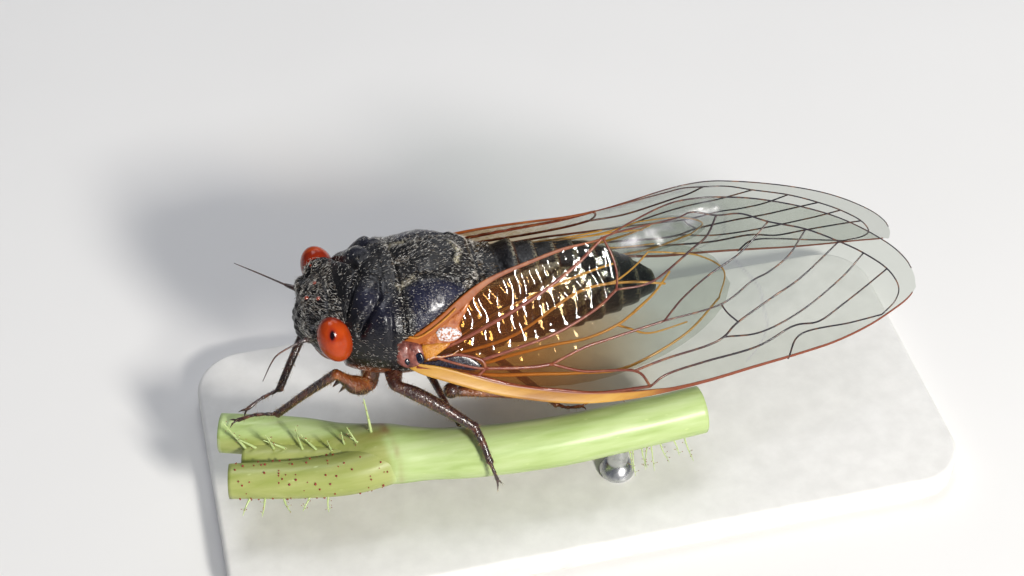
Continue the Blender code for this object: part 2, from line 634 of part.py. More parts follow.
def build_clypeus():
    """The ribbed bulb of the face, with a furrow down its middle."""
    bm = clypeus_form(0.0, 20, 15)
    middle = Vector(CLYPEUS["middle"])
    for v in bm.verts:
        out = (v.co - middle).normalized()
        height = (v.co.z - middle.z) / CLYPEUS["radii"][2]
        rib = 0.05 * math.cos(height * math.pi * CLYPEUS["ribs"] / 2) * smooth_step(abs(v.co.y) / 0.6)
        furrow = 0.14 * math.exp(-(v.co.y / 0.35) ** 2) * (1 if v.co.x < middle.x else 0)
        if v.co.x < CLYPEUS["back"] - 0.1:
            v.co += out * (rib - furrow)
    node("clypeus", bm, "black")
    rostrum = limb(ROSTRUM, [0.50, 0.42, 0.36, 0.30], 0.7)
    grown = [clypeus_form(GAP + 0.05), head_loft(GAP), grown_body()]
    node("rostrum", cut(rostrum, grown), "underside")


def build_antennae():
    for label, side, way in (("left", -1, ANTENNA_LEFT), ("right", 1, ANTENNA_RIGHT)):
        points = [mirrored(p, side) for p in [ANTENNA_ROOT] + way]
        bm = limb(points, [0.36, 0.28, 0.25, 0.14], 0.9, 7)
        grown = [head_loft(GAP + 0.15), plate(side, GAP), clypeus_form(GAP + 0.05)]
        node(f"antenna_{label}", cut(bm, grown), "leg")


def build_trunk():
    """The plates of the back, the underside of the thorax and the abdomen, parted by thin cuts."""
    notum_places = spread(-3.5, 5.5, 30)
    back, lean = Vector((1, 0, 0)), Vector((1, 0, -SUTURE_LEAN))
    half = GAP / 2
    cuts = {
        "pronotum": [(NECK + half, -back), (SUTURE - half, lean)],
        "mesonotum": [(SUTURE + half, -lean), (SCUTUM_END - half, back)],
        "metanotum": [(SCUTUM_END + half, -back), (ABDOMEN_FROM - half, back)],
    }
    notum = loft(carve_back(body_form(BODY_STATIONS, notum_places, 44)))
    notum = cut(notum, wing_room() + eyes(GAP))
    for name, planes in cuts.items():
        piece = trim(notum.copy(), (0, 0, FLANK_LEVEL + half), (0, 0, -1))
        for x, normal in planes:
            trim(piece, (x, 0, 0), normal)
        keep_largest(piece)
        node(name, piece, "black")
    notum.free()
    lower = loft(body_form(BODY_STATIONS, spread(-3.5, 5.5, 13), 24))
    lower = cut(lower, wing_room())
    trim(lower, (0, 0, FLANK_LEVEL - half), (0, 0, 1))
    trim(lower, (NECK + half, 0, 0), -back)
    trim(lower, (ABDOMEN_FROM - half, 0, 0), back)
    keep_largest(lower)
    node("thorax", lower, "underside")
    build_abdomen()


def build_abdomen():
    """The abdomen, each ring a little wider at its hind edge, where it stands over the next."""
    start = ABDOMEN_FROM + GAP / 2
    length = (ABDOMEN_TO - start) / ABDOMEN_RINGS
    rings = []
    for i in range(ABDOMEN_RINGS):
        for part, stand in ((0.0, 0.0), (0.55, 0.45), (0.93, 1.0)):
            x = start + (i + part) * length
            rings += body_form(BODY_STATIONS, [x], 26, RING_STEP * (stand - 1.0))
    rings += body_form(BODY_STATIONS, [ABDOMEN_TO], 26, -RING_STEP)
    node("abdomen", cut(loft(rings), wing_room()), "abdomen")


def build_wings():
    half = WING_THICK / 2
    for label, side in (("left", -1), ("right", 1)):
        fore = wing_plate(forewing_flat, side, -half, half, VEIN_RISE)
        root = ball(mirrored(wing_point(0.25, 0.4, -0.25), -side), (0.95, 0.62, 0.62), segments=10, rings=7)
        node(f"forewing_{label}", cut(union([fore, root]), [grown_body()]), "wing")
        hind = wing_plate(hindwing_flat, side, -half - HINDWING_INSET, half - HINDWING_INSET, 0.08)
        node(f"hindwing_{label}", hind, "wing")


def build_legs():
    for label, leg in LEGS.items():
        side = -1 if label.endswith("left") else 1
        knee = Vector(leg["tibia"][0])
        back = (knee - Vector(leg["femur"][-2])).normalized()
        ahead = (Vector(leg["tibia"][1]) - knee).normalized()
        fold = (back + ahead).normalized()
        thick, coxa = leg["thick"], leg["coxa_radius"]
        femur_line = leg["femur"][:-1] + [tuple(knee + back * 0.3)]
        swell = [thick * k for k in (0.75, 1.0, 0.95, 0.70, 0.62)]
        femur = limb(femur_line, swell, 0.9)
        trim(femur, knee - fold * GAP / 2, fold)
        pieces = [femur, limb(leg["coxa"], [coxa * 1.1, coxa, coxa * 0.8], 0.8)]
        if label.startswith("fore"):
            pieces += femur_spines(leg, side)
        upper = cut(union(pieces), [grown_body(), head_loft(GAP), wing_plate(forewing_room, side, -0.6, 0.65)])
        finish = "fore_femur" if label.startswith("fore") else "leg"
        node(f"femur_{label}", upper, finish)
        shin = [tuple(knee - ahead * 0.3)] + leg["tibia"][1:]
        tibia = limb(shin, [thick * 0.66, TIBIA_RADIUS, TIBIA_RADIUS * 0.92, TIBIA_RADIUS], 1.2)
        trim(tibia, knee + fold * GAP / 2, -fold)
        foot = limb(leg["tarsus"], [TARSUS_RADIUS, TARSUS_RADIUS * 0.9, TARSUS_RADIUS * 1.05], 0.6, 7)
        lower = union([tibia, foot] + claws(leg["tarsus"]))
        node(f"tibia_{label}", cut(lower, [cane_form(GAP), twig_form(GAP)]), "leg")


def femur_spines(leg, side):
    """The teeth under a fore femur."""
    a, b = Vector(leg["femur"][0]), Vector(leg["femur"][-1])
    down = (Vector((-1, 0.2 * side, -0.9))).normalized()
    spines = []
    for place, length in FEMUR_SPINES:
        root = a.lerp(b, place)
        spines.append(tube([root, root + down * (leg["thick"] + length)], [0.24, 0.07], 6))
    return spines


def claws(tarsus):
    """Two short hooked claws at the end of a foot."""
    end, way = Vector(tarsus[-1]), (Vector(tarsus[-1]) - Vector(tarsus[-2])).normalized()
    aside = way.cross(Vector((0, 0, 1))).normalized()
    made = []
    for turn in (-1, 1):
        out = (way + aside * 0.7 * turn).normalized()
        tip = end + out * 0.75 + Vector((0, 0, -0.15))
        made.append(tube([end, end + out * 0.4, tip], [0.15, 0.13, 0.07], 5, False))
    return made


def cane_form(grow=0.0):
    line = smooth_line(CANE_LINE, 1.6)
    widths = [row_at([(p[0], r) for p, r in zip(CANE_LINE, CANE_RADII)], q.x)[1] + grow for q in line]
    return tube(line, widths, 14, False)


def twig_form(grow=0.0):
    line = smooth_line(TWIG_LINE, 1.6)
    widths = [row_at([(p[0], r) for p, r in zip(TWIG_LINE, TWIG_RADII)], q.x)[1] + grow for q in line]
    return tube(line, widths, 12, False)


def sheath_form():
    """The web of leaf base that fills the fork between cane and twig."""
    return tube(smooth_line(SHEATH_LINE, 1.6), SHEATH_RADII, 10, False)


def build_perch():
    node("perch_cane", union([cane_form(), twig_form(), sheath_form()]), "cane")


def build_stand():
    length, width, thick = BASE_SIZE
    bm = bmesh.new()
    corners = []
    for sx, sy, start in ((1, 1, 0), (-1, 1, 90), (-1, -1, 180), (1, -1, 270)):
        for k in range(5):
            a = math.radians(start + 90 * k / 4)
            corners.append(bm.verts.new(BASE_MIDDLE + Vector((
                sx * (length / 2 - BASE_CORNER) + BASE_CORNER * math.cos(a),
                sy * (width / 2 - BASE_CORNER) + BASE_CORNER * math.sin(a), 0))))
    foot = bm.faces.new(corners)
    lifted = bmesh.ops.extrude_face_region(bm, geom=[foot])["geom"]
    bmesh.ops.translate(bm, verts=[g for g in lifted if isinstance(g, bmesh.types.BMVert)], vec=(0, 0, thick))
    bmesh.ops.recalc_face_normals(bm, faces=bm.faces)
    rim = [e for e in bm.edges if all(abs(v.co.z - BASE_MIDDLE.z - thick) < 0.01 for v in e.verts)]
    bmesh.ops.bevel(bm, geom=rim, offset=0.3, segments=2, profile=0.5, affect="EDGES", material=-1)
    node("stand_base", bm, "base")
    floor = BASE_MIDDLE.z + thick + GAP
    for name, (x, y) in ROD_PLACES.items():
        rod = tube([(x, y, floor), (x, y, -10.5)], [ROD_RADIUS, ROD_RADIUS], 12, False)
        node(name, cut(rod, [cane_form(GAP)]), "steel")


build_head()
build_clypeus()
build_antennae()
build_trunk()
build_wings()
build_legs()
build_perch()
build_stand()
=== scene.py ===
import math
import random

import bmesh
import bpy
import numpy as np
from mathutils import Matrix, Vector, noise
from mathutils.kdtree import KDTree


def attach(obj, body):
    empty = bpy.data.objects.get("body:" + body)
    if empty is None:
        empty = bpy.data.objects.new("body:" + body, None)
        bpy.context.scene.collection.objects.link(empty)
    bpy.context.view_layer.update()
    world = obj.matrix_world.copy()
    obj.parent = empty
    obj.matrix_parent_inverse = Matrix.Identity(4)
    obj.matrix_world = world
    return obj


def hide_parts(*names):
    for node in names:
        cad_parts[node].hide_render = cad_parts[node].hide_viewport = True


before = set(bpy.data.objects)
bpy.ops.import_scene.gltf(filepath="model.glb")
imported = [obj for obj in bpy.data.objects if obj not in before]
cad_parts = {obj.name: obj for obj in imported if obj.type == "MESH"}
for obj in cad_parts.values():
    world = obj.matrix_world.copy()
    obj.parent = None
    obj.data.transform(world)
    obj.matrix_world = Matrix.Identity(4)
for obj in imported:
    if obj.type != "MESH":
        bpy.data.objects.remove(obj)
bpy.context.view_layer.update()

# The insect is modelled in millimetres round its own zero, the top of the pronotum's hind margin.
# The head points to -X and its left side to -Y. intoFrame takes a finished piece into the frame's metres.
standMiddle = Vector((10.0, -1.5, -15.4))  # middle of the base's underside
intoFrame = Matrix.Scale(0.001, 4) @ Matrix.Translation(-standMiddle)


# Shader maths

class Value:  # a shader socket that sums can be written with
    def __init__(self, finish, socket):
        self.finish, self.socket = finish, socket

    def maths(self, operation, first, second):
        return self.finish.add("ShaderNodeMath", {"operation": operation}, {0: first, 1: second})

    def __add__(self, other):
        return self.maths("ADD", self, other)

    def __radd__(self, other):
        return self.maths("ADD", other, self)

    def __rsub__(self, other):
        return self.maths("SUBTRACT", other, self)

    def __mul__(self, other):
        return self.maths("MULTIPLY", self, other)

    def __rmul__(self, other):
        return self.maths("MULTIPLY", other, self)


class Finish:  # one material and the nodes behind it
    def __init__(self, name, **fixed):
        self.material = bpy.data.materials.new(name)
        self.material.use_nodes = True
        tree = self.material.node_tree
        self.nodes, self.links = tree.nodes, tree.links
        self.shader = self.nodes["Principled BSDF"]
        self.place = self.add("ShaderNodeTexCoord", out="Object")
        self.set({key.replace("_", " ").title(): value for key, value in fixed.items()})

    def add(self, kind, settings=None, values=None, out=0):
        made = self.nodes.new(kind)
        for key, value in (settings or {}).items():
            if key == "stops":
                for k, (at, colour) in enumerate(value):
                    stop = made.color_ramp.elements[k] if k < 2 else made.color_ramp.elements.new(at)
                    stop.position, stop.color = at, (*colour, 1.0)
            else:
                setattr(made, key, value)
        for key, value in (values or {}).items():
            self.join(made.inputs[key], value)
        return Value(self, made.outputs[out])

    def join(self, socket, value):
        if isinstance(value, Value):
            self.links.new(value.socket, socket)
        elif socket.type == "RGBA":
            socket.default_value = (*value, 1.0)
        else:
            socket.default_value = value

    def set(self, values):
        for key, value in values.items():
            self.join(self.shader.inputs[key.replace("Ior", "IOR")], value)

    def grain(self, size, detail=2.0, place=None):  # noise, size in millimetres
        return self.add("ShaderNodeTexNoise", {}, {
            "Vector": place or self.place, "Scale": 1000.0 / size, "Detail": detail, "Roughness": 0.55})

    def pits(self, size, place=None):  # cells, size in millimetres
        return self.add("ShaderNodeTexVoronoi", {}, {"Vector": place or self.place, "Scale": 1000.0 / size})

    def between(self, value, low, high):  # 0 below low, 1 above high
        return self.add("ShaderNodeMapRange", {"interpolation_type": "SMOOTHSTEP"}, {
            "Value": value, "From Min": low, "From Max": high})

    def blend(self, amount, first, second):
        return self.add("ShaderNodeMix", {"data_type": "RGBA"}, {0: amount, 6: first, 7: second}, out=2)

    def ramp(self, value, stops):
        return self.add("ShaderNodeValToRGB", {"stops": stops}, {0: value})

    def paint(self, channel):  # what the mesh says there
        colour = self.add("ShaderNodeAttribute", {"attribute_name": "paint"}, out="Color")
        return self.add("ShaderNodeSeparateColor", {}, {0: colour}, out=channel)

    def along(self, axis):  # millimetres of the insect
        part = self.add("ShaderNodeSeparateXYZ", {}, {0: self.place}, out="XYZ".index(axis))
        return part * 1000.0 + standMiddle["XYZ".index(axis)]

    def stretched(self, scale):
        return self.add("ShaderNodeMapping", {}, {"Vector": self.place, "Scale": scale})

    def relief(self, height, depth, strength):  # depth in millimetres
        shape = {"Height": height, "Distance": depth / 1000.0, "Strength": strength}
        self.set({"Normal": self.add("ShaderNodeBump", {}, shape)})


# Shapes

def mix(a, b, t):
    return a + (b - a) * t


def ease(t):
    t = min(max(t, 0.0), 1.0)
    return t * t * (3 - 2 * t)


def bell(x, wide):  # 1 at 0, falling away over about this width
    return math.exp(-(x / wide) ** 2)


def mirrored(point, side):
    return Vector((point[0], point[1] * side, point[2]))


def rowAt(rows, x):  # a row of a table, read from a smooth curve through its rows
    last = len(rows) - 1
    i = next((k for k in range(last) if x <= rows[k + 1][0]), last - 1)
    a, b = rows[i], rows[i + 1]
    before, after = rows[max(i - 1, 0)], rows[min(i + 2, last)]
    span = b[0] - a[0]
    t = (x - a[0]) / span
    out = [x]
    for k in range(1, len(a)):
        slopeA = (b[k] - before[k]) / (b[0] - before[0]) * span
        slopeB = (after[k] - a[k]) / (after[0] - a[0]) * span
        out.append((2 * t**3 - 3 * t**2 + 1) * a[k] + (t**3 - 2 * t**2 + t) * slopeA
                   + (3 * t**2 - 2 * t**3) * b[k] + (t**3 - t**2) * slopeB)
    return out


def smoothLine(points, step):
    pts = [Vector(p) for p in points]
    line = [pts[0]]
    for i in range(len(pts) - 1):
        a, b = pts[i], pts[i + 1]
        before = pts[i - 1] if i else a - (b - a)
        after = pts[i + 2] if i + 2 < len(pts) else b + (b - a)
        parts = max(1, round((b - a).length / step))
        for k in range(1, parts + 1):
            t = k / parts
            line.append(0.5 * ((2 * a) + (b - before) * t + (2 * before - 5 * a + 4 * b - after) * t**2
                               + (3 * a - before - 3 * b + after) * t**3))
    return line


def readList(values, t):  # a value at t, 0 to 1, from a few even ones
    at = min(max(t, 0.0), 1.0) * (len(values) - 1)
    k = min(int(at), len(values) - 2)
    return mix(values[k], values[k + 1], at - k)


def waysAlong(line):  # the direction at each point of a line
    last = len(line) - 1
    return [(line[min(i + 1, last)] - line[max(i - 1, 0)]).normalized() for i in range(last + 1)]


def skin(around, along, place):  # a grid, each corner moved to place(u, v), its seam closed
    bm = bmesh.new()
    bmesh.ops.create_grid(bm, x_segments=around, y_segments=along, size=0.5)
    for v in bm.verts:
        v.co = place(round((v.co.x + 0.5) * around) / around, round((v.co.y + 0.5) * along) / along)
    bmesh.ops.remove_doubles(bm, verts=bm.verts, dist=1e-5)
    rims = [e for e in bm.edges if e.is_boundary]
    if rims:
        bmesh.ops.holes_fill(bm, edges=rims, sides=0)
    bmesh.ops.recalc_face_normals(bm, faces=bm.faces)
    return bm


def tubeForm(line, radii, sides):  # a limb along a line, its ends domed
    line = [Vector(p) for p in line]
    last = len(line) - 1
    ways = waysAlong(line)
    across = ways[0].orthogonal().normalized()
    if abs(across.z) > 0.9:
        across = ways[0].cross(across).normalized()
    dome = ((0.75, 0.0), (0.5, 0.72))  # how far out of the end, and how wide, as parts of the radius
    stations = []
    for i, (p, way) in enumerate(zip(line, ways)):
        across = (across - way * across.dot(way)).normalized()
        radius = readList(radii, i / last)
        if i == 0:
            stations += [(p - way * radius * out, radius * wide, way, across) for out, wide in dome]
        stations.append((p, radius, way, across))
        if i == last:
            stations += [(p + way * radius * out, radius * wide, way, across) for out, wide in reversed(dome)]

    def place(u, v):
        p, radius, way, side = stations[round(v * (len(stations) - 1))]
        a = 2 * math.pi * u
        return p + (side * math.cos(a) + way.cross(side) * math.sin(a)) * radius
    return skin(sides, len(stations) - 1, place)


def limbForm(points, radii, step, sides):
    return tubeForm(smoothLine(points, step), radii, sides)


def ballForm(middle, radii, segments=24, rings=16, turn=None):
    bm = bmesh.new()
    bmesh.ops.create_uvsphere(bm, u_segments=segments, v_segments=rings, radius=1.0)
    place = Matrix.Translation(Vector(middle)) @ (turn or Matrix()) @ Matrix.Diagonal(Vector(radii)).to_4x4()
    bmesh.ops.transform(bm, verts=bm.verts, matrix=place)
    return bm


def joined(forms):
    whole = bmesh.new()
    mesh = bpy.data.meshes.new("part")
    for bm in forms:
        bm.to_mesh(mesh)
        bm.free()
        whole.from_mesh(mesh)
    bpy.data.meshes.remove(mesh)
    return whole


def meshOf(bm, name):
    mesh = bpy.data.meshes.new(name)
    bm.to_mesh(mesh)
    bm.free()
    return mesh


def placed(name, data):
    obj = bpy.data.objects.new(name, data)
    bpy.context.scene.collection.objects.link(obj)
    return obj


def blended(forms, voxel, rounds):  # one closed skin over several forms
    lump = placed("blend", meshOf(joined(forms), "blend"))
    step = lump.modifiers.new("remesh", "REMESH")
    step.mode, step.voxel_size = "VOXEL", voxel
    bm = bmesh.new()
    bm.from_mesh(lump.evaluated_get(bpy.context.evaluated_depsgraph_get()).to_mesh())
    bpy.data.objects.remove(lump)
    for _ in range(rounds):
        bmesh.ops.smooth_vert(bm, verts=bm.verts, factor=0.5,
                              use_axis_x=True, use_axis_y=True, use_axis_z=True)
    bm.normal_update()
    return bm


def painted(bm, colourAt):  # writes the masks that the finishes read
    layer = bm.verts.layers.float_color.new("paint")
    bm.normal_update()
    for v in bm.verts:
        v[layer] = (*colourAt(v.co, v.normal), 1.0)
    return bm


def piece(bm, name, finish, slot, replaced=(), turned=True):
    if turned:
        bmesh.ops.recalc_face_normals(bm, faces=bm.faces)
    bmesh.ops.transform(bm, verts=bm.verts, matrix=intoFrame)
    return dressed(meshOf(bm, name), name, finish, slot, replaced)


def dressed(mesh, name, finish, slot, replaced=()):
    obj = placed(name, mesh)
    mesh.materials.append(finish.material)
    mesh.shade_smooth()
    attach(obj, "root")
    if replaced:
        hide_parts(*replaced)
    return obj


def lineGap(p, a, b):  # how far a flat point is from a stretch
    ab = b - a
    t = min(max((p - a).dot(ab) / ab.length_squared, 0.0), 1.0)
    return (p - a - ab * t).length


# Hairs: one bent cone, repeated over a skin
hair = {"bend": 0.22, "sunk": 0.02, "shortest": 0.65, "spread": 0.7, "tries": 4, "patch": 0.0015}
coats = {  # a hair lies along "way" and may turn from it by "stray"
    "headHair": {"seed": 5, "amount": 1900, "long": 0.30, "radius": 0.0115, "shortOnLobes": 0.0,
                 "way": (-0.8, -0.5, 0.3), "stray": (0.25, 0.3, 0.2), "lift": (16, 18)},
    "backHair": {"seed": 6, "amount": 6800, "long": 0.20, "radius": 0.0125, "shortOnLobes": 0.40,
                 "way": (1.0, 0.35, 0.0), "stray": (0, 0.35, 0.3), "lift": (20, 18)},
    "ringHair": {"seed": 7, "amount": 3600, "long": 0.34, "radius": 0.012, "shortOnLobes": 0.0,
                 "way": (1.0, 0.0, 0.0), "stray": (0, 0.3, 0.3), "lift": (12, 14)},
    "streakHair": {"seed": 9, "amount": 16000, "long": 0.26, "radius": 0.016, "shortOnLobes": 0.0,
                   "way": (1.0, -0.35, 0.0), "stray": (0, 0.25, 0.2), "lift": (14, 14)},
    "legHair": {"seed": 8, "amount": 3000, "long": 0.26, "radius": 0.011, "shortOnLobes": 0.0,
                "way": (-0.3, 0.0, -1.0), "stray": (0.3, 0.3, 0), "lift": (30, 25)},
}


def hairTemplate():
    def place(u, v):
        a = 2 * math.pi * u
        wide = (1 - v) ** 0.7
        return Vector((math.cos(a) * wide, math.sin(a) * wide, v))
    return skin(3, 2, place)


def bodyUnwrap(p):  # a hair's place on the map: along the body, and round it
    return 0.02 + 0.96 * (p.x + 6.0) / 26.0, 0.5 + 0.47 * math.atan2(p.y, p.z + 3.6) / math.pi


def lobeShare(p):  # 1 on the back's smooth side lobes, 0 off them
    return ease((p.x - 0.15) / 0.25) * ease((3.7 - p.x) / 0.3) * ease((abs(p.y) - 1.5) / 0.35)


def scattered(source, count, rng):  # random points on a skin, and the way it faces there
    source = source.copy()
    bmesh.ops.triangulate(source, faces=source.faces)
    corners = np.array([[v.co[:] for v in f.verts] for f in source.faces])
    source.free()
    normals = np.cross(corners[:, 1] - corners[:, 0], corners[:, 2] - corners[:, 0])
    areas = np.linalg.norm(normals, axis=1)
    normals /= areas[:, None] + 1e-12
    picks = rng.choice(len(areas), size=count, p=areas / areas.sum())
    a, b = rng.random(count), rng.random(count)
    flip = a + b > 1
    a[flip], b[flip] = 1 - a[flip], 1 - b[flip]
    tri = corners[picks]
    points = tri[:, 0] + (tri[:, 1] - tri[:, 0]) * a[:, None] + (tri[:, 2] - tri[:, 0]) * b[:, None]
    return points, normals[picks]


def oneHair(shape, p, n, look, rng):  # the template's corners, laid over at p
    x, y, z = look["way"]
    aim = x, y * math.copysign(1, p.y), z
    way = Vector([to + rng.normal(0, stray) if stray else to for to, stray in zip(aim, look["stray"])])
    lift = math.radians(look["lift"][0] + look["lift"][1] * rng.random())
    long = 1.0 - look["shortOnLobes"] * lobeShare(p)
    long *= look["long"] * (hair["shortest"] + hair["spread"] * rng.random())
    way = (way - n * way.dot(n)).normalized()
    up = (way * math.cos(lift) + n * math.sin(lift)).normalized()
    aside = up.cross(n).normalized()
    out = shape[:, 1:2] * look["radius"] - shape[:, 2:3] ** 2 * hair["bend"] * long
    return (shape[:, :1] * look["radius"] * np.array(aside) + out * np.array(aside.cross(up))
            + shape[:, 2:3] * long * np.array(up) + np.array(p - n * hair["sunk"]))


def coat(name, source, density, finish, slot):
    look = coats[name]
    rng = np.random.default_rng(look["seed"])
    roots, normals = scattered(source, look["amount"] * hair["tries"], rng)
    chances = rng.random(len(roots))
    form = hairTemplate()
    shape = np.array([v.co[:] for v in form.verts])
    faces = [[v.index for v in f.verts] for f in form.faces]
    form.free()
    verts, polys, marks = [], [], []
    for root, normal, chance in zip(roots, normals, chances):
        if len(verts) == look["amount"]:
            break
        p, n = Vector(root), Vector(normal)
        if chance > density(p, n):
            continue
        polys += [[i + len(verts) * len(shape) for i in f] for f in faces]
        verts.append(oneHair(shape, p, n, look, rng))
        marks.append(np.array(bodyUnwrap(p)) + hair["patch"] * shape[:, :2])
    print("coat", name, len(verts), "hairs")
    mesh = bpy.data.meshes.new(name)
    mesh.from_pydata(((np.concatenate(verts) - np.array(standMiddle)) * 0.001).tolist(), [], polys)
    mesh.update()
    chart = mesh.uv_layers.new(name="OFBake")
    loops = np.empty(len(mesh.loops), dtype=np.int32)
    mesh.loops.foreach_get("vertex_index", loops)
    chart.data.foreach_set("uv", np.concatenate(marks)[loops].astype(np.float32).ravel())
    return dressed(mesh, name, finish, slot)


# Finishes

def cuticleFinish():  # black, grained, with a painted blue sheen (reflected sky) on the swollen lobes, orange below
    made = Finish("black cuticle", specular_ior_level=0.28, coat_roughness=0.24)
    orange, lobeSheen, pale = made.paint(0), made.paint(1), made.paint(2)
    cloud = made.grain(0.9, 4)
    black = made.ramp(cloud, [(0.3, (0.002, 0.002, 0.003)), (0.7, (0.010, 0.009, 0.009))])
    # the navy is a painted sheen: the blue of a reflected sky, laid on as colour
    sheenNavy = made.ramp(cloud, [(0.25, (0.004, 0.005, 0.014)), (0.75, (0.017, 0.018, 0.044))])
    rust = made.ramp(made.grain(0.7, 4), [(0.28, (0.05, 0.010, 0.004)), (0.5, (0.18, 0.045, 0.010)),
                                          (0.75, (0.38, 0.12, 0.028))])
    colour = made.blend(lobeSheen, black, sheenNavy)
    colour = made.blend(orange, colour, rust)
    tufty = made.between(made.grain(0.12, 2), 0.42, 0.58)
    colour = made.blend(pale * tufty, colour, (0.66, 0.60, 0.42))
    made.set({"Base Color": colour, "Roughness": made.between(cloud, 0.2, 0.8) * 0.12 + 0.20,
              "Coat Weight": lobeSheen * 0.30 + 0.08})
    wrinkle = made.grain(0.42, 4) * (1.0 - lobeSheen * 0.5)
    grains = made.between(made.pits(0.11), 0.05, 0.6)
    made.relief(wrinkle + grains * 0.20, 0.065, 1.0)
    return made


def eyeFinish():
    made = Finish("eye", roughness=0.12, specular_ior_level=0.28)
    rim, pseudopupilShade, shadeHalo = made.paint(0), made.paint(1), made.paint(2)
    colour = made.ramp(made.grain(0.8, 3), [(0.3, (0.31, 0.030, 0.003)), (0.7, (0.42, 0.052, 0.006))])
    # the halo and the dark spot are the shade an eye shows towards the viewer, painted fixed; the rim is
    # painted shade at its inner edge
    colour = made.blend(shadeHalo, colour, (0.19, 0.012, 0.012))
    colour = made.blend(rim, colour, (0.16, 0.008, 0.002))
    colour = made.blend(pseudopupilShade, colour, (0.006, 0.001, 0.003))
    made.set({"Base Color": colour})
    made.relief(made.pits(0.045), 0.004, 0.5)
    return made


def ocellusFinish():
    made = Finish("ocellus", roughness=0.12, coat_weight=1.0)
    red = made.ramp(made.grain(0.2), [(0.3, (0.14, 0.016, 0.008)), (0.7, (0.36, 0.06, 0.022))])
    made.set({"Base Color": red})
    return made


def membraneFinish():  # clear, amber towards the root
    made = Finish("wing membrane", roughness=0.06, ior=1.9)
    amber, foldAndSheen = made.paint(0), made.paint(2)
    cloud = made.grain(2.2, 3)
    film = made.blend(amber, (0.016, 0.020, 0.022), (0.17, 0.055, 0.012))
    # the pale lilac is the real pale fold and, along the rear edge, a painted reflection of the sky
    film = made.blend(foldAndSheen, film, (0.42, 0.40, 0.50))
    tint = made.blend(amber, (0.86, 0.89, 0.84), (0.84, 0.60, 0.29))
    made.set({"Base Color": film, "Roughness": foldAndSheen * 0.35 + 0.06})
    made.relief(made.grain(0.9, 2), 0.03, 0.6)
    clear = made.add("ShaderNodeBsdfTransparent", {}, {"Color": tint})
    gloss = made.add("ShaderNodeLayerWeight", {}, {"Blend": 0.35}, out="Fresnel")
    share = 0.14 + amber * 0.20 + foldAndSheen * 0.55 + gloss * 0.12 + made.between(cloud, 0.4, 0.7) * amber * 0.10
    mixed = made.add("ShaderNodeMixShader", {}, {0: share, 1: clear, 2: Value(made, made.shader.outputs[0])})
    made.links.new(mixed.socket, made.nodes["Material Output"].inputs["Surface"])
    return made


def veinFinish(name, nearColour, farColour, turn=(9.0, 19.0), gloss=0.4, spread=0.5):
    made = Finish(name, roughness=0.40, specular_ior_level=0.22, coat_weight=gloss, coat_roughness=0.15)
    cloud = made.grain(spread, 3)
    far = made.between(made.along("X") + cloud * 5.0, turn[0] + 2.5, turn[1] + 2.5)
    colour = made.blend(far, nearColour, farColour)
    lit = made.blend(made.between(cloud, 0.45, 0.75), colour, made.blend(0.30, colour, (0.60, 0.24, 0.07)))
    made.set({"Base Color": lit})
    made.relief(made.grain(spread * 0.5, 2), 0.03, 0.5)
    return made


def bandFinish():  # the costal band, with its red-brown upper edge in paint
    made = Finish("costal band", roughness=0.42, coat_weight=0.12, coat_roughness=0.25)
    edge = made.paint(0)
    streaks = made.grain(1.2, 4, place=made.stretched((0.22, 1.0, 1.0)))
    orange = made.ramp(streaks, [(0.28, (0.30, 0.120, 0.010)), (0.5, (0.46, 0.225, 0.024)),
                                 (0.75, (0.56, 0.32, 0.050))])
    made.set({"Base Color": made.blend(edge, orange, (0.20, 0.038, 0.010))})
    made.relief(streaks, 0.06, 0.6)
    return made


def rootFinish():  # pink-red with painted highlights in its palest tone, with yellow, black and silver in paint; the black has painted glints
    made = Finish("wing root", specular_ior_level=0.35, coat_roughness=0.15)
    yellow, black, silver = made.paint(0), made.paint(1), made.paint(2)
    cloud, fine = made.grain(0.40, 4), made.grain(0.11, 3)
    # the palest stop of the pink is a painted highlight
    pinkAndHighlight = made.ramp(cloud, [(0.3, (0.08, 0.018, 0.014)), (0.55, (0.24, 0.072, 0.055)),
                             (0.8, (0.46, 0.22, 0.17))])
    red = made.ramp(cloud, [(0.3, (0.26, 0.042, 0.008)), (0.7, (0.46, 0.130, 0.024))])
    gold = made.ramp(cloud, [(0.3, (0.44, 0.140, 0.012)), (0.75, (0.62, 0.280, 0.030))])
    # the paler blue flecks in the navy are painted glints
    sheenNavy = made.ramp(fine, [(0.50, (0.002, 0.003, 0.010)), (0.80, (0.030, 0.040, 0.085))])
    bright = made.blend(made.between(yellow, 0.5, 1.0), red, gold)
    colour = made.blend(made.between(yellow, 0.0, 0.5), pinkAndHighlight, bright)
    colour = made.blend(silver * made.between(fine, 0.38, 0.56), colour, (0.72, 0.70, 0.72))
    colour = made.blend(black, colour, sheenNavy)
    made.set({"Base Color": colour, "Coat Weight": (1.0 - black) * 0.3, "Roughness": 0.34 - black * 0.14})
    made.relief((fine * 0.5 + cloud) * (1.0 - black * 0.85), 0.09, 0.9)
    return made


def legFinish():
    made = Finish("leg", roughness=0.27, coat_weight=0.45, coat_roughness=0.15)
    cloud = made.grain(0.6, 4)
    dark = made.ramp(cloud, [(0.30, (0.012, 0.006, 0.007)), (0.55, (0.048, 0.016, 0.012)),
                             (0.78, (0.17, 0.055, 0.028))])
    orange = made.ramp(cloud, [(0.25, (0.07, 0.014, 0.004)), (0.5, (0.19, 0.048, 0.010)),
                               (0.78, (0.38, 0.13, 0.030))])
    made.set({"Base Color": made.blend(made.paint(0), dark, orange)})
    made.relief(made.grain(0.16, 3), 0.08, 0.9)
    return made


def hairFinish(name, pale, gold):
    made = Finish(name, roughness=0.35, specular_ior_level=0.7)
    made.set({"Base Color": made.ramp(made.grain(0.16, 2), [(0.42, gold), (0.58, pale)])})
    return made


